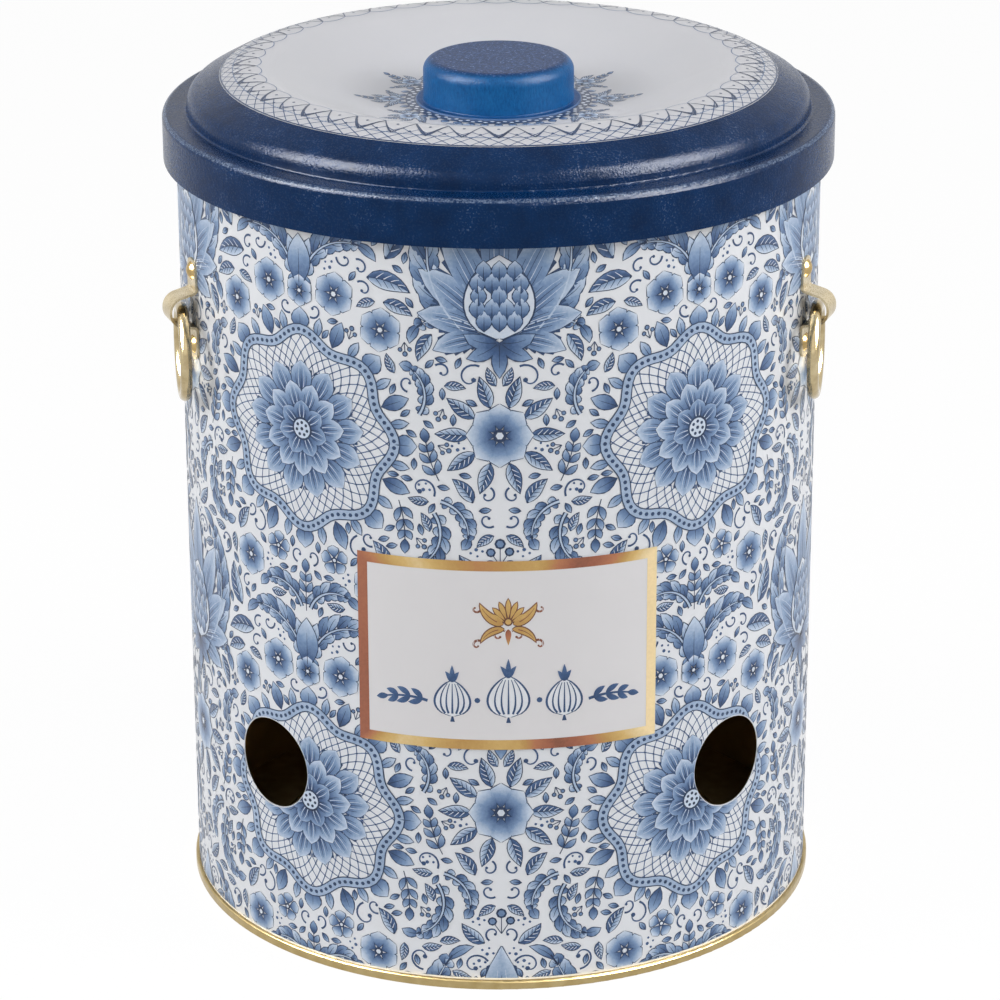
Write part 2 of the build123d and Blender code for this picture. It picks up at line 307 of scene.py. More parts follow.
@dataclass(frozen=True)
class LidEnamel:
    """Stoved navy enamel printed to look worn, round a white printed dish. Pale flecks in worn clouds are
    partly worn specks and partly painted sparkle; a pale line on the ledge's edge is partly rubbed wear
    and partly a painted highlight; the dish is painted greyer than the wall's white, as painted shade.
    The underside of the sheet keeps its gold lacquer."""

    name: str = "lid_navy_enamel"
    navy: str = "03305e"
    navy_deep: str = "021f41"
    fleck_and_glint: str = "93a6c2"
    dish_shaded_white: str = "cfcfd3"
    dish_shaded_grey: str = "cacbd0"
    lacquer: str = "8f6f35"
    dish_r: float = 77.6
    dish_rough: float = 0.32
    side_r: float = 78.0
    ledge_r: float = 92.6
    ledge_z: float = 229.0
    worn_mm: float = 9.0
    fleck_mm: float = 0.55
    pit_mm: float = 1.1
    pit_depth_mm: float = 0.12
    white_mm: float = 18.0

    def outer_face(self, made: Recipe) -> Socket:
        """One on the sheet's outer face, zero on its underside. The outer face looks up, or, past
        the dish, away from the axis: the normal's height plus its part along the ray outwards.

        Args:
            made: the recipe that it is written into.
        Returns:
            the mask's socket.
        """
        facing = made.add("NewGeometry", out="Normal")
        flat = made.add("VectorMath MULTIPLY", made.point, (1.0, 1.0, 0.0))
        ray = made.add("VectorMath NORMALIZE", flat)
        outward = made.add("VectorMath DOT_PRODUCT", facing, ray, out="Value")
        side = made.add("Math MULTIPLY", outward, made.add("Math GREATER_THAN", made.radius, self.side_r))
        look = made.add("Math ADD", made.add("SeparateXYZ", facing, out="Z"), side)
        return made.add("Math GREATER_THAN", look, -0.3)

    def build(self) -> bpy.types.Material:
        """Make the material. Flecks show where the fine noise peaks within worn clouds.

        Returns:
            the material.
        """
        made = Recipe.material(self.name)
        worn = made.add("TexNoise", made.point, **cloud(self.worn_mm, 5.0, 0.6))
        fine = made.add("TexNoise", made.point, **cloud(self.fleck_mm, 2.0, 0.6))
        on_dish = made.add("Math LESS_THAN", made.radius, self.dish_r)
        enamelled = made.add("Math SUBTRACT", 1.0, on_dish)
        # Pale flecks where the fine noise peaks within worn clouds: partly worn specks, partly painted
        # sparkle of highlights.
        flecks_and_sparkle = made.add("Math MULTIPLY", made.add("Math SUBTRACT", fine, 0.6, use_clamp=True),
                          made.add("Math SUBTRACT", worn, 0.5, use_clamp=True))
        flecks_and_sparkle = made.add("Math MULTIPLY", flecks_and_sparkle, 40.0, use_clamp=True)
        flecks_and_sparkle = made.add("Math MULTIPLY", flecks_and_sparkle, enamelled)
        depth = made.add("Math MULTIPLY_ADD", worn, 1.8, -0.4, use_clamp=True)
        blue = made.add("Mix", depth, self.navy_deep, self.navy, data_type="RGBA")
        blue = made.add("Mix", made.add("Math MULTIPLY", flecks_and_sparkle, 0.4), blue, self.fleck_and_glint, data_type="RGBA")
        # Painted shade: the dish's white is set greyer than the wall's own white, for the stronger light on
        # its upward face.
        white = made.clouded(self.white_mm, 4.0, self.dish_shaded_white, self.dish_shaded_grey)
        top = made.add("Mix", on_dish, blue, white, data_type="RGBA")
        # Partly rubbed wear, partly a painted highlight: a pale broken line on the ledge's outer edge,
        # where the rolled shoulder catches light.
        edge = made.add("Math MULTIPLY", made.add("Math GREATER_THAN", made.radius, self.ledge_r),
                        made.add("Math GREATER_THAN", made.height, self.ledge_z))
        rubbed_and_glint = made.add("Math MULTIPLY_ADD", fine, 3.0, -1.1, use_clamp=True)
        rubbed_and_glint = made.add("Math MULTIPLY", edge, rubbed_and_glint)
        top = made.add("Mix", made.add("Math MULTIPLY", rubbed_and_glint, 0.55), top, self.fleck_and_glint, data_type="RGBA")
        rough = made.add("Math ADD", made.add("Math MULTIPLY_ADD", fine, 0.7, -0.12),
                         made.add("Math MULTIPLY", flecks_and_sparkle, 0.2))
        pits = made.add("Math ADD", made.add("Math SUBTRACT", fine, 0.5),
                        made.add("TexNoise", made.point, **cloud(self.pit_mm, 2.0)))
        pits = made.add("Math MULTIPLY", made.add("Math SUBTRACT", pits, 0.5), enamelled)
        patchy = made.add("Math MULTIPLY_ADD", worn, 2.4, -0.5, use_clamp=True)
        pits = made.add("Math MULTIPLY", pits, patchy)
        show = self.outer_face(made)
        return made.shade(Base_Color=made.add("Mix", show, self.lacquer, top, data_type="RGBA"),
                          Metallic=made.add("Math SUBTRACT", 1.0, show),
                          Roughness=made.add("Mix", on_dish, rough, self.dish_rough, data_type="FLOAT"),
                          Normal=made.add("Bump", Height=pits, Distance=self.pit_depth_mm * MM,
                                          Strength=0.9),
                          Specular_IOR_Level=0.1)


@dataclass(frozen=True)
class KnobEnamel:
    """Brighter blue stoved enamel on the pressed knob: a fine up-and-down fleck on its side, and a
    finely pitted top painted greyer than the side, which is painted reflection of the surround on the
    upward face. A thin pale line round the brim's edge is a painted highlight."""

    name: str = "knob_blue_enamel"
    side: str = "13609c"
    deep: str = "0f4a80"
    light: str = "246ca6"
    top: str = "21457a"
    top_dark: str = "0f2950"
    fleck_and_glint: str = "8ea2c2"
    brim: str = "144c82"
    brim_z: float = 231.9
    brim_glint_r: float = 22.7
    streak_mm: float = 0.5
    cloud_mm: float = 5.0
    pit_mm: float = 0.8
    pit_depth_mm: float = 0.12

    def build(self) -> bpy.types.Material:
        """Make the material: streaked blue on the side, pitted grey-blue on top as painted reflection, a
        plain brim below with a painted highlight on its edge.

        Returns:
            the material.
        """
        made = Recipe.material(self.name)
        grain = made.add("Mapping", made.point, Scale=(1.0, 1.0, 0.35))
        streak = made.add("TexNoise", grain, **cloud(self.streak_mm, 2.0, 0.6))
        drift = made.add("TexNoise", made.point, **cloud(self.cloud_mm))
        speck = made.add("TexNoise", made.point, **cloud(self.pit_mm, 3.0, 0.7))
        side, top = self.deep, self.top_dark
        for layer, gain, shift, shade in ((streak, 2.2, -0.75, self.side), (drift, 0.9, -0.3, self.light)):
            amount = made.add("Math MULTIPLY_ADD", layer, gain, shift, use_clamp=True)
            side = made.add("Mix", amount, side, shade, data_type="RGBA")
        # The top's grey-blue, with its pale specks, is painted reflection of the surround on a pitted face.
        for gain, shift, shade in ((4.0, -1.5, self.top), (6.0, -3.5, self.fleck_and_glint)):
            amount = made.add("Math MULTIPLY_ADD", speck, gain, shift, use_clamp=True)
            top = made.add("Mix", amount, top, shade, data_type="RGBA")
        above = made.add("Math GREATER_THAN", made.height, self.brim_z)
        # Faces that look up take the top's painted reflection.
        up = made.add("SeparateXYZ", made.add("NewGeometry", out="Normal"), out="Z")
        flat = made.add("Math MULTIPLY_ADD", up, 4.0, -3.0, use_clamp=True)
        flat = made.add("Math MULTIPLY", above, flat)
        colour = made.add("Mix", flat, side, top, data_type="RGBA")
        colour = made.add("Mix", above, self.brim, colour, data_type="RGBA")
        # Painted highlight: a pale line round the brim's outer edge.
        edge = made.add("Math MULTIPLY", made.add("Math GREATER_THAN", made.radius, self.brim_glint_r), 0.4)
        return made.shade(Base_Color=made.add("Mix", edge, colour, self.fleck_and_glint, data_type="RGBA"),
                          Roughness=made.add("Math MULTIPLY_ADD", streak, 0.2, 0.24),
                          Normal=made.add("Bump", Height=made.add("Math ADD", streak, speck),
                                          Distance=self.pit_depth_mm * MM, Strength=0.8),
                          Specular_IOR_Level=0.07)


@dataclass(frozen=True)
class PlatedMetal:
    """Metal with a fine grain: polished brass wire, satin brass strip, lacquered or zinc-plated
    steel. Small scratches and a cloud of tarnish break up its reflections."""

    name: str
    colour: str
    shade: str
    rough: float
    spread: float = 0.08
    grain: tuple[float, float, float] = (1.0, 1.0, 1.0)
    grain_mm: float = 0.4
    depth_mm: float = 0.01
    cloud_mm: float = 4.0

    def build(self) -> bpy.types.Material:
        """Make the material.

        Returns:
            the material.
        """
        made = Recipe.material(self.name)
        scratch = made.add("TexNoise", made.add("Mapping", made.point, Scale=self.grain),
                           **cloud(self.grain_mm, 3.0, 0.6))
        tarnish = made.add("TexNoise", made.point, **cloud(self.cloud_mm))
        tarnish = made.add("Math MULTIPLY_ADD", tarnish, 1.6, -0.4, use_clamp=True)
        return made.shade(Base_Color=made.add("Mix", tarnish, self.shade, self.colour, data_type="RGBA"),
                          Metallic=1.0,
                          Roughness=made.add("Math MULTIPLY_ADD", scratch, 2 * self.spread,
                                             self.rough - self.spread),
                          Normal=made.add("Bump", Height=scratch, Distance=self.depth_mm * MM,
                                          Strength=0.4))


class Brass(Enum):
    """The metal finishes of the tin's small parts."""

    WIRE = PlatedMetal("polished_brass_wire", "cfc09c", "9f8c66", 0.16, 0.05)
    STRIP = PlatedMetal("satin_brass_strip", "d2c5a8", "ab9c7c", 0.28, 0.06, (1.0, 1.0, 0.25))
    RIVET = PlatedMetal("bright_brass_rivet", "cdb480", "987f50", 0.2, 0.04)
    RIM = PlatedMetal("gold_lacquered_tinplate", "b4a278", "998558", 0.3, 0.06, (1.0, 1.0, 6.0))
    ZINC = PlatedMetal("zinc_plated_steel", "a9aaa6", "8f918f", 0.34, 0.08)


# Flat print shapes, in millimetres on the unrolled wall

def grid_quads(rows: int, cols: int) -> np.ndarray:
    """Quads of a rows by cols grid of points, four indices each."""
    index = np.arange(rows * cols).reshape(rows, cols)
    return np.stack([index[:-1, :-1], index[:-1, 1:], index[1:, 1:], index[1:, :-1]], -1).reshape(-1, 4)


def refine(data: np.ndarray, quads: np.ndarray, pick: np.ndarray,
           count: int = 3) -> tuple[np.ndarray, np.ndarray]:
    """Split some quads count by count, so that an edge can be cut finely through them.

    Args:
        data: a row of values for each point, its place first.
        quads: four indices each.
        pick: which quads are split.
        count: pieces each way.
    Returns:
        the rows with the new points' rows after them, and the quads.
    """
    step = np.linspace(0, 1, count + 1)
    a, b = (g.reshape(-1) for g in np.meshgrid(step, step))
    weight = np.stack([(1 - a) * (1 - b), a * (1 - b), a * b, (1 - a) * b], 1)
    extra = np.einsum("kc,qcd->qkd", weight, data[quads[pick]])
    first = len(data) + np.arange(len(extra))[:, None, None] * len(weight)
    fine = (grid_quads(count + 1, count + 1)[None] + first).reshape(-1, 4)
    return np.vstack([data, extra.reshape(-1, data.shape[1])]), np.vstack([quads[~pick], fine])


@dataclass
class Patch:
    """A flat shape: points in millimetres, quads and a tone (0 dark to 1 pale) at each point."""

    points: np.ndarray
    quads: np.ndarray
    tones: np.ndarray

    @classmethod
    def grid(cls, points: np.ndarray, tones: float | np.ndarray, flip: bool = False) -> Patch:
        """Make a patch of a grid.

        Args:
            points: rows by columns by two.
            tones: a number, or an array that spreads over the grid.
            flip: turn the quads over.
        Returns:
            the patch.
        """
        rows, cols = points.shape[:2]
        quads = grid_quads(rows, cols)
        spread = np.broadcast_to(tones, (rows, cols)).reshape(-1).astype(float)
        return cls(points.reshape(-1, 2), quads[:, ::-1] if flip else quads, spread)


def ring(radius: float | np.ndarray, sides: int) -> np.ndarray:
    """Points round a circle, or round a curve whose radius changes with the angle.

    Args:
        radius: one number, or numbers that spread over the points.
        sides: steps round; the last point closes the ring.
    Returns:
        x and y of each point.
    """
    turn = np.linspace(0, 2 * np.pi, sides + 1)
    return np.stack([radius * np.cos(turn), radius * np.sin(turn)], -1)


def band(path: np.ndarray, half: float | np.ndarray, tone: float | np.ndarray) -> Patch:
    """A ribbon: each point of the path, and the same point moved half a width to either side along
    the path's normal.

    Args:
        path: points along the middle.
        half: half the width, one number or one for each point.
        tone: one number or one for each point.
    Returns:
        the patch.
    """
    step = np.gradient(path, axis=0)
    step = step / (np.linalg.norm(step, axis=1, keepdims=True) + 1e-12)
    side = np.stack([step[:, 1], -step[:, 0]], 1)
    reach = np.broadcast_to(half, len(path))[:, None, None] * np.array([-1.0, 1.0])[None, :, None]
    tones = np.broadcast_to(tone, len(path))[:, None]
    return Patch.grid(path[:, None, :] + side[:, None, :] * reach, tones)


def disc(radius: float, tone: float, sides: int = 8) -> Patch:
    """A round spot: a middle point and quads that each take in two steps of the edge.

    Args:
        radius: its radius.
        tone: its tone.
        sides: steps round the edge, an even number.
    Returns:
        the patch.
    """
    turn = np.linspace(0, 2 * np.pi, sides, endpoint=False)
    points = np.vstack([[0, 0], np.stack([radius * np.cos(turn), radius * np.sin(turn)], 1)])
    k = np.arange(0, sides, 2)
    quads = np.stack([np.zeros_like(k), k + 1, (k + 1) % sides + 1, (k + 2) % sides + 1], 1)
    return Patch(points, quads, np.full(len(points), tone))


@dataclass
class Artwork:
    """Flat shapes kept by layer, the higher layers printed over the lower ones."""

    layers: dict[int, list[Patch]] = field(default_factory=dict)

    def add(self, patch: Patch, layer: int) -> Artwork:
        """Put a patch on a layer and return the artwork."""
        self.layers.setdefault(layer, []).append(patch)
        return self

    def merge(self, other: Artwork, x: float = 0.0, y: float = 0.0, turn: float = 0.0,
              scale: float = 1.0, flip: bool = False, up: int = 0) -> Artwork:
        """Print another artwork here, mirrored, scaled, turned and then moved.

        Args:
            other: what is printed.
            x: move to the right.
            y: move up.
            turn: anticlockwise turn in radians.
            scale: size factor.
            flip: mirror left to right first.
            up: layers to raise it by.
        Returns:
            this artwork.
        """
        c, s = math.cos(turn) * scale, math.sin(turn) * scale
        matrix = np.array([[c, -s], [s, c]]) @ np.diag([-1.0 if flip else 1.0, 1.0])
        for layer, patches in other.layers.items():
            for patch in patches:
                quads = patch.quads[:, ::-1] if flip else patch.quads
                self.add(Patch(patch.points @ matrix.T + (x, y), quads, patch.tones), layer + up)
        return self

    def flat(self) -> tuple[np.ndarray, np.ndarray, np.ndarray, np.ndarray]:
        """Join every patch.

        Returns:
            points, quads, tones and each point's layer.
        """
        points, quads, tones, lifts, start = [], [], [], [], 0
        for layer, patches in sorted(self.layers.items()):
            for patch in patches:
                points.append(patch.points)
                quads.append(patch.quads + start)
                tones.append(patch.tones)
                lifts.append(np.full(len(patch.points), float(layer)))
                start += len(patch.points)
        return tuple(np.concatenate(part) for part in (points, quads, tones, lifts))

    def joined(self) -> Artwork:
        """Join the patches of each layer.

        Returns:
            the same artwork with one patch on each layer.
        """
        made = Artwork()
        for layer, patches in self.layers.items():
            points, quads, tones, _ = Artwork({layer: patches}).flat()
            made.add(Patch(points, quads, tones), layer)
        return made

    def samples(self, count: int = 4) -> np.ndarray:
        """Points spread over every quad.

        Args:
            count: points along each side of a quad.
        Returns:
            the points.
        """
        u = (np.arange(count) + 0.5) / count
        a, b = (g.reshape(-1) for g in np.meshgrid(u, u))
        weight = np.stack([(1 - a) * (1 - b), a * (1 - b), a * b, (1 - a) * b], 1)
        points, quads, *_ = self.flat()
        return np.einsum("kc,qcd->qkd", weight, points[quads]).reshape(-1, 2)


@dataclass(frozen=True)
class Petal:
    """A petal's outline: a spine that is a circular arc, and a half width that swells as a sine
    whose top is moved to `peak`, raised to `full`, with saw teeth towards the tip if wanted."""

    length: float
    width: float
    bend: float = 0.0
    peak: float = 0.55
    full: float = 0.75
    teeth: int = 0
    bite: float = 0.2
    start: float = 0.0

    def spine(self, t: np.ndarray) -> np.ndarray:
        """Points on the arc.

        Args:
            t: how far along, from 0 at the base to 1 at the tip.
        Returns:
            the points.
        """
        if abs(self.bend) < 1e-6:
            x, y = np.zeros_like(t), t
        else:
            x, y = (1 - np.cos(self.bend * t)) / self.bend, np.sin(self.bend * t) / self.bend
        return np.stack([x, y], -1) * self.length + (0, self.start)

    def half(self, t: np.ndarray) -> np.ndarray:
        """Half the width.

        Args:
            t: how far along.
        Returns:
            half the width there.
        """
        power = math.log(0.5) / math.log(self.peak)
        wide = np.sin(np.pi * np.clip(t, 0, 1) ** power) ** self.full
        if self.teeth:
            wide = wide * (1 - self.bite * (1 - (t * self.teeth) % 1.0))
        return self.width / 2 * wide

    def at(self, t: np.ndarray, lane: np.ndarray) -> np.ndarray:
        """Points at t along and lane (-1 to 1) across."""
        side = np.stack([np.cos(self.bend * t), -np.sin(self.bend * t)], -1)
        return self.spine(t) + side * (self.half(t) * lane)[..., None]

    def fill(self, base: float, tip: float, margin: float = 0.0, cols: int = 2, steps: int = 8,
             rim: float = 0.0) -> Patch:
        """The petal's face.

        Args:
            base: tone at the base.
            tip: tone at the tip.
            margin: how far inside the outline it stays, in millimetres.
            cols: quads across.
            steps: points along.
            rim: how much darker the middle is than the edge.
        Returns:
            the patch.
        """
        fine = np.linspace(0, 1, 201)
        keep = fine[self.half(fine) > margin + 0.015]
        if len(keep) < 2:
            keep = fine[[80, 120]]
        t = np.linspace(keep[0], keep[-1], steps)
        if self.teeth and margin == 0:
            cut = np.arange(1, self.teeth) / self.teeth
            t = np.sort(np.concatenate([cut - 0.01, cut, keep[[0, -1]]]))
        s = np.linspace(-1, 1, cols + 1)
        wide = self.half(t)
        lane = np.clip((wide - margin) / np.maximum(wide, 1e-6), 0, 1)
        tone = base + (tip - base) * t[:, None] - rim * (1 - np.abs(s))
        return Patch.grid(self.at(t[:, None] + 0 * s, lane[:, None] * s), np.clip(tone, 0, 1))

    def vein(self, lane: float, low: float, high: float, tone: float, thick: float = 0.15,
             steps: int = 5) -> Patch:
        """A line that keeps to one lane of the petal and thins out."""
        t = np.linspace(low, high, steps)
        return band(self.at(t, lane + 0 * t), thick * np.linspace(1.0, 0.35, steps), tone)


NAVY, DEEP, PALE, PAPER = 0.04, 0.14, 0.8, 1.0


def bloom_petal(petal: Petal, layer: int = 0, margin: float = 0.3, base: float = 0.18,
                tip: float = 0.86) -> Artwork:
    """A large petal: dark outline, washed body, dark veins and pale streaks that fade to the tip.

    Args:
        petal: its outline.
        layer: its lowest layer.
        margin: width of the outline.
        base: tone at the base.
        tip: tone at the tip.
    Returns:
        the artwork.
    """
    made = Artwork().add(petal.fill(NAVY, DEEP), layer)
    inner = replace(petal, teeth=0, width=petal.width * (1 - 0.8 * petal.bite if petal.teeth else 1))
    made.add(inner.fill(base, tip, margin=margin, cols=4, rim=0.16), layer + 1)
    for lane in (-0.5, 0.0, 0.5):
        made.add(inner.vein(lane, 0.1, 0.78 - 0.3 * abs(lane), NAVY), layer + 2)
    for lane in (-0.26, 0.26):
        made.add(inner.vein(lane, 0.3, 0.9 - 0.3 * abs(lane), PALE, 0.12), layer + 2)
    return made


def lobe(length: float, width: float, bend: float = 0.0, layer: int = 0, base: float = 0.16,
         tip: float = 0.72, margin: float = 0.28, steps: int = 6, vein: bool = True) -> Artwork:
    """A small plain petal or leaflet with a dark outline and midrib.

    Args:
        length: its length.
        width: its width.
        bend: how far it bends, in radians.
        layer: its lowest layer.
        base: tone at the base.
        tip: tone at the tip.
        margin: width of the outline.
        steps: points along.
        vein: whether it has a midrib.
    Returns:
        the artwork.
    """
    petal = Petal(length, width, bend, 0.5, 0.85)
    made = Artwork().add(petal.fill(NAVY, 0.08, steps=steps), layer)
    made.add(petal.fill(base, tip, margin=margin, steps=steps - 1), layer + 1)
    if vein:
        made.add(petal.vein(0.0, 0.08, 0.7, NAVY, 0.13, 4), layer + 2)
    return made


def leaf(length: float = 12.0, width: float = 5.0, bend: float = 0.5, layer: int = 0) -> Artwork:
    """A leaf of a dark and a light half, with side veins.

    Args:
        length: its length.
        width: its width.
        bend: how far it bends, in radians.
        layer: its lowest layer.
    Returns:
        the artwork.
    """
    petal = Petal(length, width, bend, 0.42, 0.9)
    made = Artwork().add(petal.fill(NAVY, NAVY), layer)
    t = np.linspace(0.06, 0.94, 8)
    inner = np.clip((petal.half(t) - 0.28) / petal.half(t), 0.05, 1)
    for sign, low, high in ((1, 0.5, 0.8), (-1, 0.12, 0.32)):
        lane = np.stack([0.05 + 0 * t, inner], 1) * sign
        face = petal.at(t[:, None] + 0 * lane, lane)
        made.add(Patch.grid(face, np.array([[low, high]]), sign < 0), layer + 1)
    for low in (0.22, 0.38, 0.54, 0.7):
        t = np.linspace(low, low + 0.14, 3)
        for sign, tone in ((1, 0.1), (-1, 0.9)):
            path = petal.at(t, np.linspace(0.08, 0.72, 3) * sign)
            made.add(band(path, np.array([0.13, 0.1, 0.06]), tone), layer + 2)
    return made


def fern(length: float = 30.0, bend: float = 1.6, lobes: int = 8, size: float = 7.0) -> Artwork:
    """A feathered leaf: leaflets down both sides of a curved rib, largest in the middle.

    Args:
        length: the rib's length.
        bend: how far the rib bends, in radians.
        lobes: leaflets on each side.
        size: length of the largest leaflets.
    Returns:
        the artwork.
    """
    rib = Petal(length, 1.0, bend)
    made = Artwork()
    t = np.linspace(0.05, 0.92, lobes)
    reach = size * np.sin(np.pi * (t * 0.84 + 0.13)) ** 0.8
    for i, foot in enumerate(rib.spine(t)):
        for sign in (1, -1):
            outer = (sign > 0) == (bend < 0)
            tone = 0.12 if (i + (sign > 0)) % 2 else 0.38
            long = reach[i] * (1.15 if outer else 0.8)
            piece = lobe(long, 2.0 + 0.2 * size, sign * -0.7, 0, tone, tone + 0.45)
            made.merge(piece, *foot, turn=-bend * t[i] - sign * 0.72)
    made.merge(lobe(size * 1.1, 3.2, bend * 0.5), *rib.spine(np.array(0.95)), turn=-bend * 0.95)
    run = np.linspace(0, 1, 13)
    made.add(band(rib.spine(run), 0.75 - 0.5 * run, NAVY), 2)
    return made.add(band(rib.spine(run[:-1]), 0.32 - 0.2 * run[:-1], 0.7), 3)


def spokes(piece: Artwork, count: int, phase: float = 0.0, out: float = 0.0) -> Artwork:
    """Copies of a piece set round a centre, tips outwards.

    Args:
        piece: what is copied.
        count: how many.
        phase: first place, as a share of one step.
        out: distance from the centre.
    Returns:
        the artwork.
    """
    made = Artwork()
    for i in range(count):
        turn = 2 * math.pi * (i + phase) / count
        made.merge(piece, -out * math.sin(turn), out * math.cos(turn), turn=turn)
    return made


def rosette(radius: float = 20.0, layer: int = 0) -> Artwork:
    """A round flower of three rings of petals about a seeded heart.

    Args:
        radius: its radius.
        layer: its lowest layer.
    Returns:
        the artwork.
    """
    made = Artwork()
    rings = ((13, 0.42, 1.0, 0.46, 5, 0.0, 0.12, 0.84), (11, 0.2, 0.7, 0.34, 0, 0.5, 0.06, 0.9),
             (7, 0.06, 0.42, 0.3, 0, 0.0, 0.06, 0.7))
    for count, low, high, wide, teeth, phase, base, tip in rings:
        petal = Petal((high - low) * radius, wide * radius, 0.0, 0.6, 0.7, teeth, 0.2, low * radius)
        made.merge(spokes(bloom_petal(petal, layer, 0.3, base, tip), count, phase))
        layer += 3
    made.add(disc(0.17 * radius, NAVY, 16), layer).add(disc(0.14 * radius, PALE, 16), layer + 1)
    made.merge(spokes(Artwork().add(disc(0.5, NAVY, 6), layer + 2), 7, 0.0, 0.09 * radius))
    return made.add(disc(0.55, NAVY, 6), layer + 2)


def tulip(height: float = 40.0, layer: int = 0) -> Artwork:
    """A tall flower from the side: flame petals round a scaled cup, with a leafy calyx.

    Args:
        height: its height.
        layer: its lowest layer.
    Returns:
        the artwork.
    """
    made = Artwork()
    for turn, length, width in ((1.45, 0.4, 0.17), (1.05, 0.5, 0.2), (0.7, 0.62, 0.23), (0.36, 0.78, 0.25),
                                (0.0, 0.92, 0.27)):
        for sign in (1, -1) if turn else (1,):
            petal = Petal(length * height, width * height, 0.45 * turn * sign, 0.62, 0.8, 7, 0.2)
            made.merge(bloom_petal(petal, layer, 0.34, 0.08, 0.85), turn=-turn * sign)
    layer += 3
    cup = Petal(0.5 * height, 0.42 * height, 0.0, 0.42, 0.6)
    made.add(cup.fill(NAVY, NAVY, cols=4, steps=12), layer)
    made.add(cup.fill(0.8, 0.9, margin=0.5, cols=4, steps=12), layer + 1)
    for row in range(5):
        t = 0.14 + 0.15 * row
        count = 3 + row % 2
        half = float(cup.half(np.array(t))) * 0.84
        for x in half * (2 * (np.arange(count) + 0.5) / count - 1):
            scale = lobe(0.13 * height, 0.1 * height, 0, layer + 2, 0.1, 0.8)
            made.merge(scale, x, (t * 0.5 - 0.03) * height)
    for turn in (-1.5, 1.5, -0.9, 0.9, 0):
        made.merge(lobe(0.22 * height, 0.1 * height, 0.6 * turn, layer + 2, 0.08, 0.6), 0, -0.02 * height,
                   turn=math.pi - turn * 0.9)
    return made


def floret(radius: float = 5.0, petals: int = 5, layer: int = 0) -> Artwork:
    """A small open flower.

    Args:
        radius: its radius.
        petals: how many.
        layer: its lowest layer.
    Returns:
        the artwork.
    """
    wide = min(2.1 * math.sin(math.pi / petals), 1.0) * radius * 0.9
    petal = Petal(radius * 0.88, wide, 0, 0.66, 0.65, start=radius * 0.12)
    piece = Artwork().add(petal.fill(NAVY, 0.1, steps=6), layer)
    piece.add(petal.fill(0.08, 0.9, margin=0.26, steps=5), layer + 1)
    made = spokes(piece, petals)
    return made.add(disc(radius * 0.22, NAVY, 8), layer + 2).add(disc(radius * 0.12, 0.9, 6), layer + 3)


def berries(size: float = 4.0) -> Artwork:
    """Three berries on stalks.

    Args:
        size: length of the stalks.
    Returns:
        the artwork.
    """
    made = Artwork()
    for x, y, r in ((-0.5, 0.75, 0.27), (0.5, 0.8, 0.27), (0.0, 1.25, 0.31)):
        t = np.linspace(0, 1, 3)
        made.add(band(np.stack([x * t * size, y * t * size], 1), 0.12, 0.08), 0)
        berry = Artwork().add(disc(r * size, NAVY, 8), 0).add(disc(r * size * 0.66, 0.42, 6), 1)
        made.merge(berry, x * size, y * size)
    return made


def sprig(length: float = 9.0, bend: float = 0.4) -> Artwork:
    """A small stem with paired leaflets and a bud.

    Args:
        length: its length.
        bend: how far it bends, in radians.
    Returns:
        the artwork.
    """
    rib = Petal(length, 1, bend)
    made = Artwork().add(band(rib.spine(np.linspace(0, 0.9, 5)), 0.14, NAVY), 0)
    for y, size in ((0.15, 0.36), (0.42, 0.32), (0.66, 0.26)):
        for sign in (1, -1):
            piece = lobe(size * length, 0.17 * length, sign * -0.6, 0, 0.22, 0.7, vein=False)
            made.merge(piece, *rib.spine(np.array(y)), turn=-bend * y - sign * 0.85)
    bud = lobe(0.34 * length, 0.22 * length, 0, 0, 0.08, 0.6, vein=False)
    return made.merge(bud, *rib.spine(np.array(0.85)), turn=-bend * 0.85)


def tendril(size: float = 8.0, tone: float = 0.16) -> Artwork:
    """A thin curl: a circle whose radius shrinks as it turns, with a seed at its end.

    Args:
        size: its size across.
        tone: its tone.
    Returns:
        the artwork.
    """
    t = np.linspace(0, 1, 16)
    r = size * (0.5 - 0.4 * t)
    turn = 4.6 * t - np.pi / 2
    path = np.stack([r * np.cos(turn), size * 0.5 + r * np.sin(turn)], 1)
    made = Artwork().add(band(path, 0.3 - 0.14 * t, tone + 0.1 * t), 0)
    return made.merge(Artwork().add(disc(0.09 * size, tone, 6), 1), *path[-1])


def seeds() -> Artwork:
    """A few loose dots.

    Returns:
        the artwork.
    """
    made = Artwork()
    for x, y, r in ((0, 0, 0.55), (1.7, 0.6, 0.4), (-1.5, 0.9, 0.4), (0.2, 1.9, 0.35)):
        made.merge(Artwork().add(disc(r, 0.26, 6), 0), x, y)
    return made


def lace_band(path: np.ndarray, width: float = 3.0, layer: int = 0, pitch: float = 1.9) -> Artwork:
    """A band of two dark lines with pale between them and a row of beads.

    Args:
        path: its middle.
        width: its width.
        layer: its lowest layer.
        pitch: from bead to bead.
    Returns:
        the artwork.
    """
    made = Artwork().add(band(path, width / 2, 0.06), layer)
    made.add(band(path, width / 2 - 0.32, 0.62), layer + 1)
    run = np.concatenate([[0], np.cumsum(np.linalg.norm(np.diff(path, axis=0), axis=1))])
    at = np.arange(pitch / 2, run[-1], pitch)
    bead = Artwork().add(disc(width * 0.19, 0.1, 6), layer + 2)
    for x, y in zip(np.interp(at, run, path[:, 0]), np.interp(at, run, path[:, 1])):
        made.merge(bead, x, y)
    return made


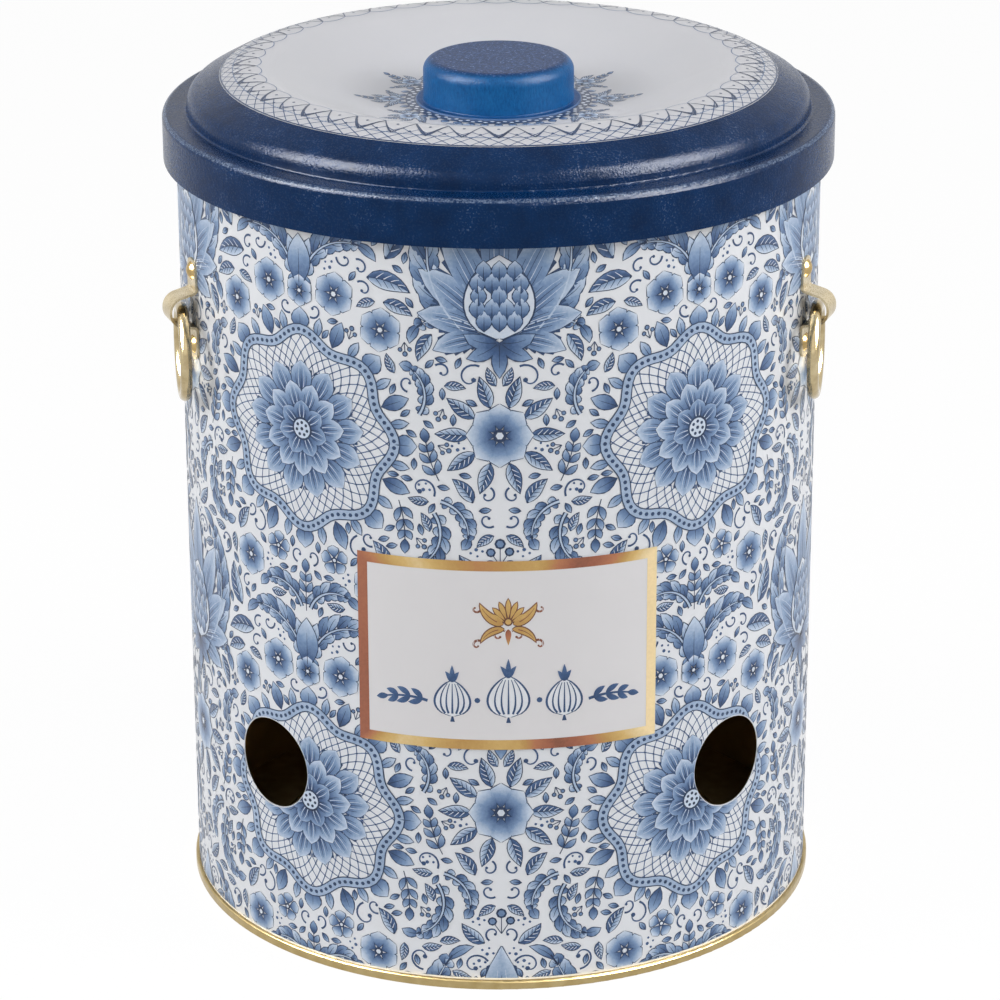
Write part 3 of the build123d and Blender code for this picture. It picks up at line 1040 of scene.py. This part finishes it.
def net(outer: Callable, inner: float, turns: int, rows: int, tone: float = 0.3,
        thick: float = 0.14) -> Artwork:
    """A trellis between two closed rings: lines that climb from ring to ring as they turn, both
    ways round, with a dot in each mesh.

    Args:
        outer: radius of the outer ring at an angle.
        inner: radius of the inner ring.
        turns: meshes round.
        rows: meshes from ring to ring.
        tone: the lines' tone.
        thick: half the lines' width.
    Returns:
        the artwork.
    """
    made = Artwork()
    t = np.linspace(0, 1, 7)
    for i in range(turns):
        for sign in (1, -1):
            turn = 2 * np.pi * (i + 0.5 + sign * rows * t) / turns
            r = inner + (outer(turn) - inner) * t
            made.add(band(np.stack([r * np.cos(turn), r * np.sin(turn)], 1), thick, tone), 0)
        for row in range(1, 2 * rows):
            turn = 2 * np.pi * (i + 0.5 * (row % 2 == 0)) / turns
            r = inner + (outer(turn) - inner) * (row / (2 * rows))
            dot = Artwork().add(disc(2 * thick, 0.16, 6), 1)
            made.merge(dot, r * math.cos(turn), r * math.sin(turn))
    return made


def mesh_object(name: str, points: np.ndarray, quads: np.ndarray, material: bpy.types.Material,
                body: str, tones: np.ndarray | None = None) -> bpy.types.Object:
    """Put a finished surface in the scene, riding on a body.

    Args:
        name: the piece's name.
        points: places in metres.
        quads: four indices each.
        material: its finish.
        body: the body that it rides on.
        tones: the tone at each point.
    Returns:
        the object.
    """
    data = bpy.data.meshes.new(name)
    used, compact = np.unique(quads, return_inverse=True)
    quads = compact.reshape(-1, 4)
    points = points[used]
    data.vertices.add(len(points))
    data.vertices.foreach_set("co", points.astype(np.float32).reshape(-1))
    data.loops.add(len(quads) * 4)
    data.loops.foreach_set("vertex_index", quads.astype(np.int32).reshape(-1))
    data.polygons.add(len(quads))
    data.polygons.foreach_set("loop_start", np.arange(0, 4 * len(quads), 4, dtype=np.int32))
    data.polygons.foreach_set("use_smooth", np.ones(len(quads), bool))
    if tones is not None:
        layer = data.attributes.new("tone", "FLOAT", "POINT")
        layer.data.foreach_set("value", tones[used].astype(np.float32))
    data.update(calc_edges=True)
    data.validate()
    data.materials.append(material)
    made = bpy.data.objects.new(name, data)
    bpy.context.scene.collection.objects.link(made)
    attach(made, body)
    log.info("%s: %d faces on %s", name, len(quads), body)
    return made


# Sub-assemblies

@dataclass
class Canister:
    """The printed wall with its vents, and the gold base seamed to its foot."""

    wall_r: float = 90.0
    repeats: int = 5
    cell_h: float = 110.0
    flower_z: float = 50.0
    low_z: float = 3.2
    high_z: float = 222.0
    vent_r: float = 13.1
    vent_z: float = 57.3
    vent_angle: float = 45.0
    vent_room: float = 0.3
    seam_half: float = 3.2
    medallion_r: float = 26.5
    lobes: int = 8
    lobe_depth: float = 1.7
    bare_mm: float = 0.5
    lift: float = 0.05
    layer_step: float = 0.02
    seed: int = 7

    @property
    def cell_w(self) -> float:
        """Width of one repeat."""
        return 2 * math.pi * self.wall_r / self.repeats

    def holes(self) -> np.ndarray:
        """The vents' middles, two at the front and two at the back.

        Returns:
            their places on the unrolled wall.
        """
        angle = self.vent_angle
        turns = np.radians([angle, -angle, 180 - angle, angle - 180])
        return np.column_stack([turns * self.wall_r, np.full(4, self.vent_z)])

    def edge(self, turn: float | np.ndarray) -> float | np.ndarray:
        """Radius of a medallion's lace ring at an angle: a cosine round a circle."""
        return self.medallion_r + self.lobe_depth * np.cos(self.lobes * turn)

    def medallion(self) -> Artwork:
        """A rosette in a lobed lace ring, a net between them and leaflets round it.

        Returns:
            the artwork.
        """
        made = Artwork().merge(net(self.edge, 15.0, 48, 3))
        made.merge(spokes(lobe(7.0, 6.4, 0, 0, 0.1, 0.8), 8, 0.0, 27.5))
        made.merge(spokes(lobe(8.5, 4.6, 0, 0, 0.08, 0.7), 8, 0.5, 26.5))
        made.merge(spokes(lobe(6.0, 3.0, 0, 0, 0.3, 0.8), 16, 0.5, 27.0))
        lace = ring(self.edge(np.linspace(0, 2 * np.pi, 97)), 96)
        return made.merge(lace_band(lace, 3.2, 3)).merge(rosette(19.5, 2))

    def flowers(self) -> Artwork:
        """What sits on the mirror line through the medallions.

        Returns:
            the artwork.
        """
        mid = self.cell_h / 2
        made = self.medallion()
        made.merge(lobe(15, 8, 0, 4, 0.08, 0.85, steps=9), 0, mid - 15)
        made.merge(floret(4.5, 6, 4), 0, mid - 16)
        return made.merge(sprig(13, 0.0), 0, mid + 2)

    def tulips(self) -> Artwork:
        """What sits on the mirror line between the medallions.

        Returns:
            the artwork.
        """
        half, mid = self.cell_w / 2, self.cell_h / 2
        made = Artwork().merge(tulip(46, 2), half, mid - 24)
        made.merge(floret(9, 8, 2), half, 4).merge(berries(5), half, mid + 22)
        return made.merge(spokes(leaf(9.5, 4.2, 0.0), 10, 0.5, 8.0), half, 4)

    def scrolls(self) -> Artwork:
        """The large ferns of the right half of a repeat.

        Returns:
            the artwork.
        """
        half, mid = self.cell_w / 2, self.cell_h / 2
        made = Artwork().merge(fern(48, 1.75, 12, 8.5), half - 3.5, mid - 26, turn=1.12)
        made.merge(fern(24, -1.9, 7, 6.0), half - 2.0, mid - 27, turn=0.35)
        made.merge(fern(27, 1.9, 8, 7.0), 1.5, mid - 16, turn=0.1)
        return made.merge(fern(15, 1.6, 6, 5.0), 1.5, mid + 3, turn=-0.35)

    def cells(self, points: np.ndarray) -> tuple[np.ndarray, np.ndarray]:
        """Cells of the half repeat's grid: each point is moved into one repeat and mirrored.

        Args:
            points: places on the unrolled wall.
        Returns:
            each point's column and row.
        """
        half = self.cell_w / 2
        x = np.abs((points[:, 0] + half) % self.cell_w - half)
        return (x / self.bare_mm).astype(int), (points[:, 1] % self.cell_h / self.bare_mm).astype(int)

    def fillers(self, taken: Artwork) -> Artwork:
        """Small motifs strewn where the large ones leave the ground bare. A grid of the half
        repeat marks what is inked; each motif is tried at seeded random places, large ones first,
        and printed where every one of its sample points is free.

        Args:
            taken: the large motifs of the whole repeat.
        Returns:
            the small motifs of the right half.
        """
        half = self.cell_w / 2
        mask = np.zeros((int(half / self.bare_mm) + 2, int(self.cell_h / self.bare_mm) + 2), bool)
        mask[self.cells(taken.samples(5))] = True
        draws = np.random.default_rng(self.seed)
        kinds = ((fern(20, 1.9, 7, 5.0), 260, 1.1), (floret(6.2, 6), 200, 1.1),
                 (fern(14, 1.5, 6, 4.0), 400, 1.1),
                 (sprig(13), 300, 1.1), (leaf(13, 5.5, 0.7), 400, 1.1), (floret(4.4), 400, 1.1),
                 (tendril(8), 300, 1.1), (leaf(9, 4, 0.6), 700, 1.08), (berries(4.0), 500, 1.08),
                 (sprig(8), 600, 1.08), (floret(3.0), 700, 1.08), (tendril(5), 600, 1.05),
                 (leaf(6, 2.8, 0.5), 1500, 1.05), (berries(2.6), 1200, 1.05), (lobe(3.6, 1.9), 3000, 1.02),
                 (seeds(), 3000, 1.0))
        made = Artwork()
        for piece, tries, room in kinds:
            shape = piece.samples(3)
            middle = (shape.min(0) + shape.max(0)) / 2
            shape = (shape - middle) * room
            for _ in range(tries):
                spot = draws.uniform((0, 0), (half, self.cell_h))
                turn, flip = draws.uniform(-np.pi, np.pi), draws.random() < 0.5
                c, s = math.cos(turn), math.sin(turn)
                matrix, mirror = np.array([[c, s], [-s, c]]), np.array([-1.0 if flip else 1.0, 1.0])
                tried = (shape * mirror) @ matrix + spot
                where = self.cells(tried)
                if tried[:, 0].min() < 0.4 or tried[:, 0].max() > half - 0.4 or mask[where].any():
                    continue
                mask[where] = True
                made.merge(piece, *(spot - (middle * mirror) @ matrix), turn=turn, flip=flip)
        log.info("print covers %.0f %% of the ground", 100 * mask.mean())
        return made

    def trim(self, points: np.ndarray, quads: np.ndarray, label: Label) -> tuple[np.ndarray, np.ndarray]:
        """Cut the print at its edges, at the vents and under the label. A point past an edge is
        moved onto the edge, and a quad that has shrunk to nothing or lies under the label goes.

        Args:
            points: places on the unrolled wall.
            quads: four indices each.
            label: the label, whose panel hides what is under it.
        Returns:
            the moved points and the quads that stay.
        """
        moved = points.copy()
        limit = math.pi * self.wall_r - self.seam_half
        moved[:, 0] = np.clip(moved[:, 0], -limit, limit)
        moved[:, 1] = np.clip(moved[:, 1], self.low_z, self.high_z)
        stop, gone = self.vent_r + self.vent_room, np.zeros(len(quads), bool)
        for hole in self.holes():
            away = points - hole
            far = np.hypot(*away.T)
            inside = far < stop
            gone |= inside[quads].all(1)
            moved[inside] = hole + away[inside] * (stop / np.maximum(far[inside], 1e-6))[:, None]
        corner = moved[quads]
        across, up = corner[:, 2] - corner[:, 0], corner[:, 3] - corner[:, 1]
        area = (across[:, 0] * up[:, 1] - across[:, 1] * up[:, 0]) / 2
        low, high = label.corners()
        hidden = ((corner > low + 1.0) & (corner < high - 1.0)).all((1, 2))
        span = np.ptp(corner, axis=1).max(1)
        return moved, quads[(area > 0.002) & ~hidden & ~gone & (span < 15)]

    def wrap(self, points: np.ndarray, lifts: np.ndarray) -> np.ndarray:
        """Bend the wall round the tin: the way right becomes an angle, the lift adds to the radius."""
        turn, r = points[:, 0] / self.wall_r, self.wall_r + lifts
        return np.stack([r * np.sin(turn), -r * np.cos(turn), points[:, 1]], 1) * MM

    def print_piece(self, name: str, cell: Artwork, ink: bpy.types.Material, label: Label) -> None:
        """Repeat one repeat's artwork over the wall and make it a piece.

        Args:
            name: the piece's name.
            cell: the artwork of one repeat.
            ink: its finish.
            label: the label, whose panel hides what is under it.
        """
        sheet = Artwork()
        cell = cell.joined()
        for i in range(self.repeats + 1):
            for j in (-1, 0, 1, 2):
                sheet.merge(cell, (i - self.repeats / 2) * self.cell_w, self.flower_z + j * self.cell_h)
        points, quads, tones, layers = sheet.flat()
        middle = points[quads].mean(1)
        limit = math.pi * self.wall_r + 2
        x, z = middle.T
        keep = (np.abs(x) < limit) & (z > self.low_z - 6) & (z < self.high_z + 6)
        quads, middle = quads[keep], middle[keep]
        near = np.min([np.hypot(*(middle - hole).T) for hole in self.holes()], axis=0) < self.vent_r + 5
        data, quads = refine(np.column_stack([points, tones, layers]), quads, near)
        points, tones, layers = data[:, :2], data[:, 2], data[:, 3]
        points, quads = self.trim(points, quads, label)
        mesh_object(name, self.wrap(points, self.lift + self.layer_step * layers), quads, ink, "tin",
                    tones)

    def build(self, ink: bpy.types.Material, label: Label) -> None:
        """Print the wall and dress the wall and the base.

        Args:
            ink: the print's finish.
            label: the label, whose panel hides what is under it.
        """
        dress("body_shell", PrintedTinplate().build())
        dress("base_end", Brass.RIM.value.build())
        flowers, tulips, right = self.flowers(), self.tulips(), self.scrolls()
        taken = Artwork().merge(flowers).merge(tulips).merge(right).merge(right, flip=True)
        small = self.fillers(taken)
        self.print_piece("wall_print_medallions", flowers, ink, label)
        self.print_piece("wall_print_tulips", tulips, ink, label)
        self.print_piece("wall_print_ferns", Artwork().merge(right).merge(right, flip=True), ink, label)
        self.print_piece("wall_print_sprigs", Artwork().merge(small).merge(small, flip=True), ink, label)


@dataclass
class Label:
    """The framed panel on the front: printed white, a gold-graded frame, a gold palmette, and a
    row of plain onion bulbs and leaves."""

    wall_r: float = 90.0
    left: float = -39.6
    right: float = 43.8
    low: float = 73.1
    high: float = 128.4
    stroke: float = 2.9
    palmette_z: float = 110.9
    palmette_scale: float = 1.24
    row_z: float = 82.7
    lift: float = 0.36
    layer_step: float = 0.04

    def corners(self) -> tuple[np.ndarray, np.ndarray]:
        """The panel's lowest and highest corner on the unrolled wall."""
        return np.array([self.left, self.low]), np.array([self.right, self.high])

    def panel(self) -> Artwork:
        """A plain grid over the panel.

        Returns:
            the artwork.
        """
        u, v = np.linspace(self.left, self.right, 91), np.linspace(self.low, self.high, 5)
        grid = np.stack(np.broadcast_arrays(u[None, :], v[:, None]), -1)
        return Artwork().add(Patch.grid(grid, 1.0), 0)

    def gold_frame(self) -> Artwork:
        """Four mitred bars, each a grid whose tone runs along it through a list of shades.

        Returns:
            the artwork.
        """
        low, high = self.corners()
        s = self.stroke
        made = Artwork()
        sides = (
            ((low[0], high[1]), (high[0], high[1]), (0, -s),
             (0.24, 0.45, 0.68, 0.8, 0.62, 0.5, 0.42, 0.46, 0.55, 0.6, 0.35, 0.14, 0.2, 0.36, 0.7, 0.95)),
            ((high[0], high[1]), (high[0], low[1]), (-s, 0), (0.95, 0.93, 0.94, 0.95)),
            ((high[0], low[1]), (low[0], low[1]), (0, s),
             (0.98, 0.8, 0.6, 0.4, 0.22, 0.12, 0.3, 0.6, 0.66, 0.55, 0.5, 0.6, 0.75, 0.8, 0.6, 0.22)),
            ((low[0], low[1]), (low[0], high[1]), (s, 0), (0.2, 0.18, 0.22, 0.24)),
        )
        for start, end, inward, shades in sides:
            start, end, inward = np.array(start), np.array(end), np.array(inward)
            along = (end - start) / np.linalg.norm(end - start)
            run, deep = np.linspace(0, 1, 91)[None, :, None], np.linspace(0, 1, 4)[:, None, None]
            shape = start + (end - start) * run + deep * (inward + along * s * (1 - 2 * run))
            tone = np.interp(run[0, :, 0], np.linspace(0, 1, len(shades)), shades)
            made.add(Patch.grid(shape, tone[None, :], True), 1)
        return made

    def palmette(self) -> Artwork:
        """A fan of seven leaves over two pairs of scrolling leaves, in gold.

        Returns:
            the artwork.
        """
        made = Artwork()
        arms = ((1.0, -0.6, 1.3, 7.6, 2.5, -1.0), (0.8, -1.8, 1.5, 6.8, 2.0, 1.3))
        for turn in (-0.95, -0.64, -0.32, 0.0, 0.32, 0.64, 0.95):
            petal = Petal(6.2 - 1.4 * abs(turn), 1.45, 0.25 * turn, 0.66, 0.8)
            gilt = Artwork().add(petal.fill(0.02, 0.1), 1).add(petal.fill(0.48, 0.68, margin=0.22), 2)
            made.merge(gilt, 0, -0.6, turn=-turn)
        for sign in (1, -1):
            for x, y, turn, size, wide, bend in arms:
                arm = Petal(size, wide, bend * sign, 0.35, 0.7)
                leafy = Artwork().add(arm.fill(0.02, 0.1, steps=12), 1)
                leafy.add(arm.fill(0.48, 0.68, margin=0.26, steps=12), 2)
                leafy.add(arm.vein(0, 0.2, 0.8, 0.12, 0.12, 7), 3)
                leafy.merge(tendril(2.6, 0.08), *arm.spine(np.array(0.9)), turn=-sign * 0.9,
                            flip=(bend > 0) == (sign > 0))
                made.merge(leafy, sign * x, y, turn=-sign * turn)
            made.merge(tendril(3.4, 0.08), sign * 0.7, -2.2, turn=-sign * 2.3, flip=sign > 0)
        made.add(disc(1.0, 0.05, 12), 4).add(disc(0.65, 0.62, 10), 5)
        drop = Petal(3.8, 1.3, 0, 0.3, 0.9)
        return made.merge(Artwork().add(drop.fill(0.1, 0.55), 1), 0, -1.8, turn=math.pi)

    def bulb(self, size: float = 11.0) -> Artwork:
        """An onion: a broad petal form with rib lines, a tuft of shoots and a few roots.

        Args:
            size: its height without the shoots.
        Returns:
            the artwork.
        """
        made = Artwork()
        skin = Petal(size, size * 0.96, 0, 0.4, 0.62)
        made.add(skin.fill(0.16, 0.2, cols=6, steps=14), 1)
        made.add(skin.fill(PAPER, PAPER, margin=0.62, cols=6, steps=14), 2)
        for lane in (-0.62, -0.32, 0.0, 0.32, 0.62):
            made.add(skin.vein(lane, 0.08, 0.9, 0.2, 0.3, 9), 3)
        for turn, length in ((-0.42, 0.34), (0.0, 0.46), (0.42, 0.34)):
            shoot = Petal(length * size, 1.5, turn, 0.35, 0.8)
            made.merge(Artwork().add(shoot.fill(0.2, 0.3), 3), 0, size * 0.94, turn=-turn * 0.8)
        for turn in (-0.7, -0.25, 0.25, 0.7):
            root = band(np.stack([np.linspace(0, 0.7 * turn, 3), np.linspace(0.3, -1.6, 3)], 1), 0.16, 0.2)
            made.add(root, 1)
        return made

    def bulb_row(self) -> Artwork:
        """Three bulbs with a leafy flourish at each side.

        Returns:
            the artwork.
        """
        made = Artwork()
        for x, size in ((-15.2, 10.8), (0.0, 12.4), (15.2, 10.8)):
            made.merge(self.bulb(size), x, 0.0)
        for sign in (1, -1):
            stem = Petal(11.5, 1, 0.5)
            stalk = band(stem.spine(np.linspace(0, 1, 9)), np.linspace(0.45, 0.25, 9), 0.2)
            flourish = Artwork().add(stalk, 1)
            for t, size in ((0.12, 4.4), (0.42, 4.6), (0.72, 3.8)):
                for side in (1, -1):
                    blade = Petal(size, 1.7, side * -0.6, 0.5, 0.9)
                    flourish.merge(Artwork().add(blade.fill(0.16, 0.3), 1), *stem.spine(np.array(t)),
                                   turn=-0.5 * t - side * 0.8)
            tip = Petal(3.6, 1.8, 0, 0.5, 0.9)
            flourish.merge(Artwork().add(tip.fill(0.16, 0.3), 1), *stem.spine(np.array(0.97)), turn=-0.5)
            made.merge(flourish, sign * 22.0, 4.2, turn=-sign * 1.3, flip=sign < 0)
        for x in (-8.4, 8.4):
            made.merge(Artwork().add(disc(0.8, 0.2, 8), 1), x, 5.0)
        return made

    def build(self, canister: Canister, ink: bpy.types.Material) -> None:
        """Make the panel, the frame and the two ornaments.

        Args:
            canister: the canister that they wrap round.
            ink: the bulbs' finish.
        """
        gold, white = Ink.GOLD.value.build(), LabelWhite().build()
        x = (self.left + self.right) / 2
        palmette = Artwork().merge(self.palmette(), x, self.palmette_z, scale=self.palmette_scale)
        bulbs = Artwork().merge(self.bulb_row(), x, self.row_z)
        pieces = (("label_panel", self.panel(), white), ("label_frame", self.gold_frame(), gold),
                  ("label_palmette", palmette, gold), ("label_onion_row", bulbs, ink))
        for name, art, material in pieces:
            points, quads, tones, layers = art.flat()
            mesh_object(name, canister.wrap(points, self.lift + self.layer_step * layers), quads, material,
                        "tin", tones)


@dataclass
class Lid:
    """The slip lid and its knob: navy enamel with a white dish, a trellis border on the crest and
    a collar of sprigs round the knob."""

    border_in: float = 67.3
    border_out: float = 77.3
    scallop_r: float = 73.8
    meshes: int = 96
    collar_in: float = 23.2
    pearls: int = 44
    sprays: int = 10
    lift: float = 0.05
    layer_step: float = 0.02

    def profile(self) -> tuple[np.ndarray, np.ndarray]:
        """Read the lid's upper face from the frame's own lid: the points whose normals point up.

        Returns:
            their radius and height in millimetres, in order of radius.
        """
        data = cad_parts["lid_shell"].data
        co, up = np.zeros(3 * len(data.vertices)), np.zeros(3 * len(data.vertices))
        data.vertices.foreach_get("co", co)
        data.vertex_normals.foreach_get("vector", up)
        co, up = co.reshape(-1, 3) / MM, up.reshape(-1, 3)
        top = co[up[:, 2] > 0.25]
        r = np.hypot(top[:, 0], top[:, 1])
        order = np.argsort(r)
        return r[order], top[order, 2]

    def drape(self, points: np.ndarray, lifts: np.ndarray) -> np.ndarray:
        """Lay flat artwork on the lid: each point keeps its place seen from above and takes the
        height of the lid's face there.

        Args:
            points: places seen from above.
            lifts: each point's height over the face.
        Returns:
            the points in metres.
        """
        r, z = self.profile()
        height = np.interp(np.hypot(points[:, 0], points[:, 1]), r, z) + lifts
        return np.column_stack([points, height]) * MM

    def border(self) -> Artwork:
        """A fine trellis outside and a row of bold pointed scallops inside, with a dot in each.

        Returns:
            the artwork.
        """
        made = Artwork()
        for r, half, tone in ((self.border_out, 0.2, 0.1), (self.scallop_r, 0.1, 0.4)):
            made.add(band(ring(r, 288), half, tone), 1)
        made.merge(net(lambda turn: self.border_out + 0 * turn, self.scallop_r - 2.6, self.meshes, 2,
                       0.24, 0.12))
        half_turn = 2 * math.pi / self.meshes
        s = np.linspace(-1, 1, 9)
        for count, thick, tone in ((self.meshes // 2, 0.26, 0.1), (self.meshes // 4, 0.45, NAVY)):
            r = self.border_in + (self.scallop_r - self.border_in) * (1 - np.abs(s) ** 1.25)
            path = np.stack([r * np.sin(s * half_turn), r * np.cos(s * half_turn)], 1)
            made.merge(spokes(Artwork().add(band(path, thick * (1.1 - 0.5 * np.abs(s)), tone), 2), count))
        bud = Artwork().add(disc(0.45, 0.14, 6), 2)
        made.merge(spokes(bud, self.meshes // 2, 0.0, self.border_in + 1.9))
        made.merge(spokes(bud, self.meshes // 2, 0.5, self.scallop_r - 1.2))
        arch = np.stack([(self.border_in - 0.3) * np.sin(s * half_turn),
                         self.border_in - 0.3 - 1.1 * (1 - s ** 2)], 1)
        return made.merge(spokes(Artwork().add(band(arch, 0.12, 0.35), 1), self.meshes // 2))

    def collar(self) -> Artwork:
        """A lace ring hugging the knob's brim, with flower sprays that point away from it.

        Returns:
            the artwork.
        """
        lace_r, count = self.collar_in + 1.4, self.pearls
        made = Artwork().add(band(ring(lace_r, 120), 1.4, 0.1), 4)
        pearl = Artwork().add(disc(0.62, 0.92, 8), 5)
        made.merge(spokes(pearl, count, 0.0, lace_r + 0.45)).merge(spokes(pearl, count, 0.5, lace_r - 0.55))
        made.merge(spokes(lobe(3.0, 2.6, 0, 0, 0.08, 0.7), count, 0.0, self.collar_in + 2.4))
        spray = Artwork().merge(floret(3.1, 6, 2), 0, 30.4).merge(sprig(7.5, 0.0), 0, 31.5)
        for sign in (1, -1):
            spray.merge(leaf(6.4, 2.9, sign * 0.7), sign * 1.2, 27.2, turn=-sign * 0.75)
            spray.merge(leaf(5.0, 2.3, sign * -0.6), sign * 2.2, 30.8, turn=-sign * 0.45)
            spray.merge(sprig(6.0, sign * 0.8), sign * 3.4, 27.4, turn=-sign * 0.5)
        return made.merge(spokes(spray, self.sprays, 0.5))

    def build(self, ink: bpy.types.Material, zinc: bpy.types.Material) -> None:
        """Print the lid and dress it, the knob and what holds the knob.

        Args:
            ink: the print's finish.
            zinc: the finish of what holds the knob.
        """
        for name, art in (("lid_print_border", self.border()), ("lid_print_collar", self.collar())):
            points, quads, tones, layers = art.flat()
            mesh_object(name, self.drape(points, self.lift + self.layer_step * layers), quads, ink,
                        "lid", tones)
        dress("lid_shell", LidEnamel().build())
        dress("knob_cap", KnobEnamel().build())
        for node in ("knob_plate", "knob_screw", "knob_washer"):
            dress(node, zinc)


@dataclass
class Handles:
    """The two drop rings in their straps, riveted through the wall."""

    sides: tuple[str, ...] = ("left", "right")

    def build(self, zinc: bpy.types.Material) -> None:
        """Dress the rings, straps, rivets and burrs.

        Args:
            zinc: the burrs' finish.
        """
        wire, strip = Brass.WIRE.value.build(), Brass.STRIP.value.build()
        rivet = Brass.RIVET.value.build()
        for side in self.sides:
            dress(f"{side}_ring", wire)
            dress(f"{side}_strap", strip)
            for level in ("upper", "lower"):
                dress(f"{side}_{level}_rivet", rivet)
                dress(f"{side}_{level}_burr", zinc)


def dress(node: str, material: bpy.types.Material) -> None:
    """Give a frame node a finish.

    Args:
        node: the node's name.
        material: the finish, which takes up its only material slot.
    """
    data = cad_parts[node].data
    data.materials.clear()
    data.materials.append(material)
    log.info("%s: %s", node, material.name)


@dataclass(frozen=True)
class Lamp:
    """A rectangular lamp that faces the tin.

    Its place is a turn and a rise in degrees from the front, and a distance in metres. A gleam is
    seen in reflections alone, so that it adds a highlight to the enamel and no light."""

    name: str
    turn: float
    rise: float
    far: float
    size: tuple[float, float]
    watts: float
    gleam: bool = False

    def build(self, aim: Vector) -> None:
        """Hang the lamp.

        Args:
            aim: the point that it faces.
        """
        turn, rise = math.radians(self.turn), math.radians(self.rise)
        away = Vector((math.cos(rise) * math.sin(turn), -math.cos(rise) * math.cos(turn), math.sin(rise)))
        data = bpy.data.lights.new(self.name, "AREA")
        data.shape, data.size, data.size_y, data.energy = "RECTANGLE", *self.size, self.watts
        made = bpy.data.objects.new(self.name, data)
        made.location = aim + self.far * away
        made.rotation_euler = (-away).to_track_quat("-Z", "Y").to_euler()
        made.visible_diffuse = not self.gleam
        bpy.context.scene.collection.objects.link(made)


@dataclass
class Studio:
    """Plain white studio: pale floor, soft boxes and the photograph's camera."""

    lens_mm: float = 144.28
    sensor_mm: float = 36.0
    spot: tuple[float, float, float] = (0.0, -1.0826, 0.5299)
    pitch_deg: float = 21.153
    roll: float = -0.0035
    world_light: float = 0.38
    paper: str = "d8d8d8"
    floor_radii: tuple[float, ...] = (0.0001, 0.3, 4.0)
    floor_sides: int = 96
    floor_glow: float = 0.92
    glow: float = 1.03
    aim: tuple[float, float, float] = (0.0, 0.0, 0.13)
    lamps: tuple[Lamp, ...] = (
        Lamp("left_softbox", -71.0, 31.0, 1.3, (0.55, 0.5), 8.1),
        Lamp("right_softbox", 71.0, 31.0, 1.3, (0.55, 0.5), 8.7),
        Lamp("left_gleam", -69.0, 36.0, 1.3, (0.8, 1.05), 105.0, True),
        Lamp("right_gleam", 69.0, 36.0, 1.3, (0.8, 1.05), 105.0, True),
        Lamp("front_fill", 0.0, 35.0, 2.2, (2.4, 2.0), 7.2),
    )

    def camera(self) -> None:
        """Place the photograph's camera."""
        data = bpy.data.cameras.new("camera")
        data.lens, data.sensor_width, data.clip_start = self.lens_mm, self.sensor_mm, 0.01
        made = bpy.data.objects.new("camera", data)
        made.location = self.spot
        made.rotation_mode = "ZYX"
        made.rotation_euler = (math.radians(90 - self.pitch_deg), 0.0, self.roll)
        bpy.context.scene.collection.objects.link(made)
        bpy.context.scene.camera = made

    def floor(self) -> None:
        """A wide pale disc whose colour the camera sees as nearly white, with the tin's shadow."""
        x, y = ring(np.array(self.floor_radii)[:, None], self.floor_sides).transpose(2, 0, 1)
        points = np.stack([x, y, np.zeros_like(x)], -1)
        data = bpy.data.meshes.new("floor")
        data.from_pydata(points.reshape(-1, 3).tolist(), [], grid_quads(*x.shape)[:, ::-1].tolist())
        made = bpy.data.objects.new("floor", data)
        bpy.context.scene.collection.objects.link(made)
        sweep = Recipe.material("white_paper_sweep")
        data.materials.append(sweep.shade(Base_Color=self.paper, Roughness=0.9, Specular_IOR_Level=0.0))
        seen = sweep.add("Math MAXIMUM", sweep.add("LightPath", out="Is Camera Ray"),
                         sweep.add("LightPath", out="Is Glossy Ray"))
        light = sweep.add("Emission", Color="ffffff", Strength=self.glow)
        blend = sweep.add("MixShader", sweep.add("Math MULTIPLY", seen, self.floor_glow),
                          sweep.own("BSDF_PRINCIPLED").outputs[0], light)
        sweep.settle(sweep.own("OUTPUT_MATERIAL"), Surface=blend)

    def world(self) -> None:
        """An even pale surround, white to the camera, in reflections and through clear things."""
        made = Recipe(bpy.data.worlds.new("studio"))
        bpy.context.scene.world = made.owner
        seen = made.add("LightPath", out="Is Camera Ray")
        for kind in ("Glossy", "Transmission"):
            seen = made.add("Math MAXIMUM", seen, made.add("LightPath", out=f"Is {kind} Ray"))
        made.settle(made.own("BACKGROUND"), Color="ffffff",
                    Strength=made.add("Math MULTIPLY_ADD", seen, 1.0 - self.world_light, self.world_light))

    def build(self) -> None:
        """Make the camera, the floor, the surround and the lamps."""
        bpy.context.scene.view_settings.view_transform = "Standard"
        self.camera()
        self.floor()
        self.world()
        for lamp in self.lamps:
            lamp.build(Vector(self.aim))


def main() -> None:
    """Build the tin's looks in order, then the studio."""
    logging.basicConfig(level=logging.INFO, format="%(name)s %(message)s", stream=sys.stdout)
    ink, zinc = Ink.BLUE.value.build(), Brass.ZINC.value.build()
    label, canister = Label(), Canister()
    canister.build(ink, label)
    label.build(canister, ink)
    Lid().build(ink, zinc)
    Handles().build(zinc)
    Studio().build()


if __name__ == "__main__":
    main()
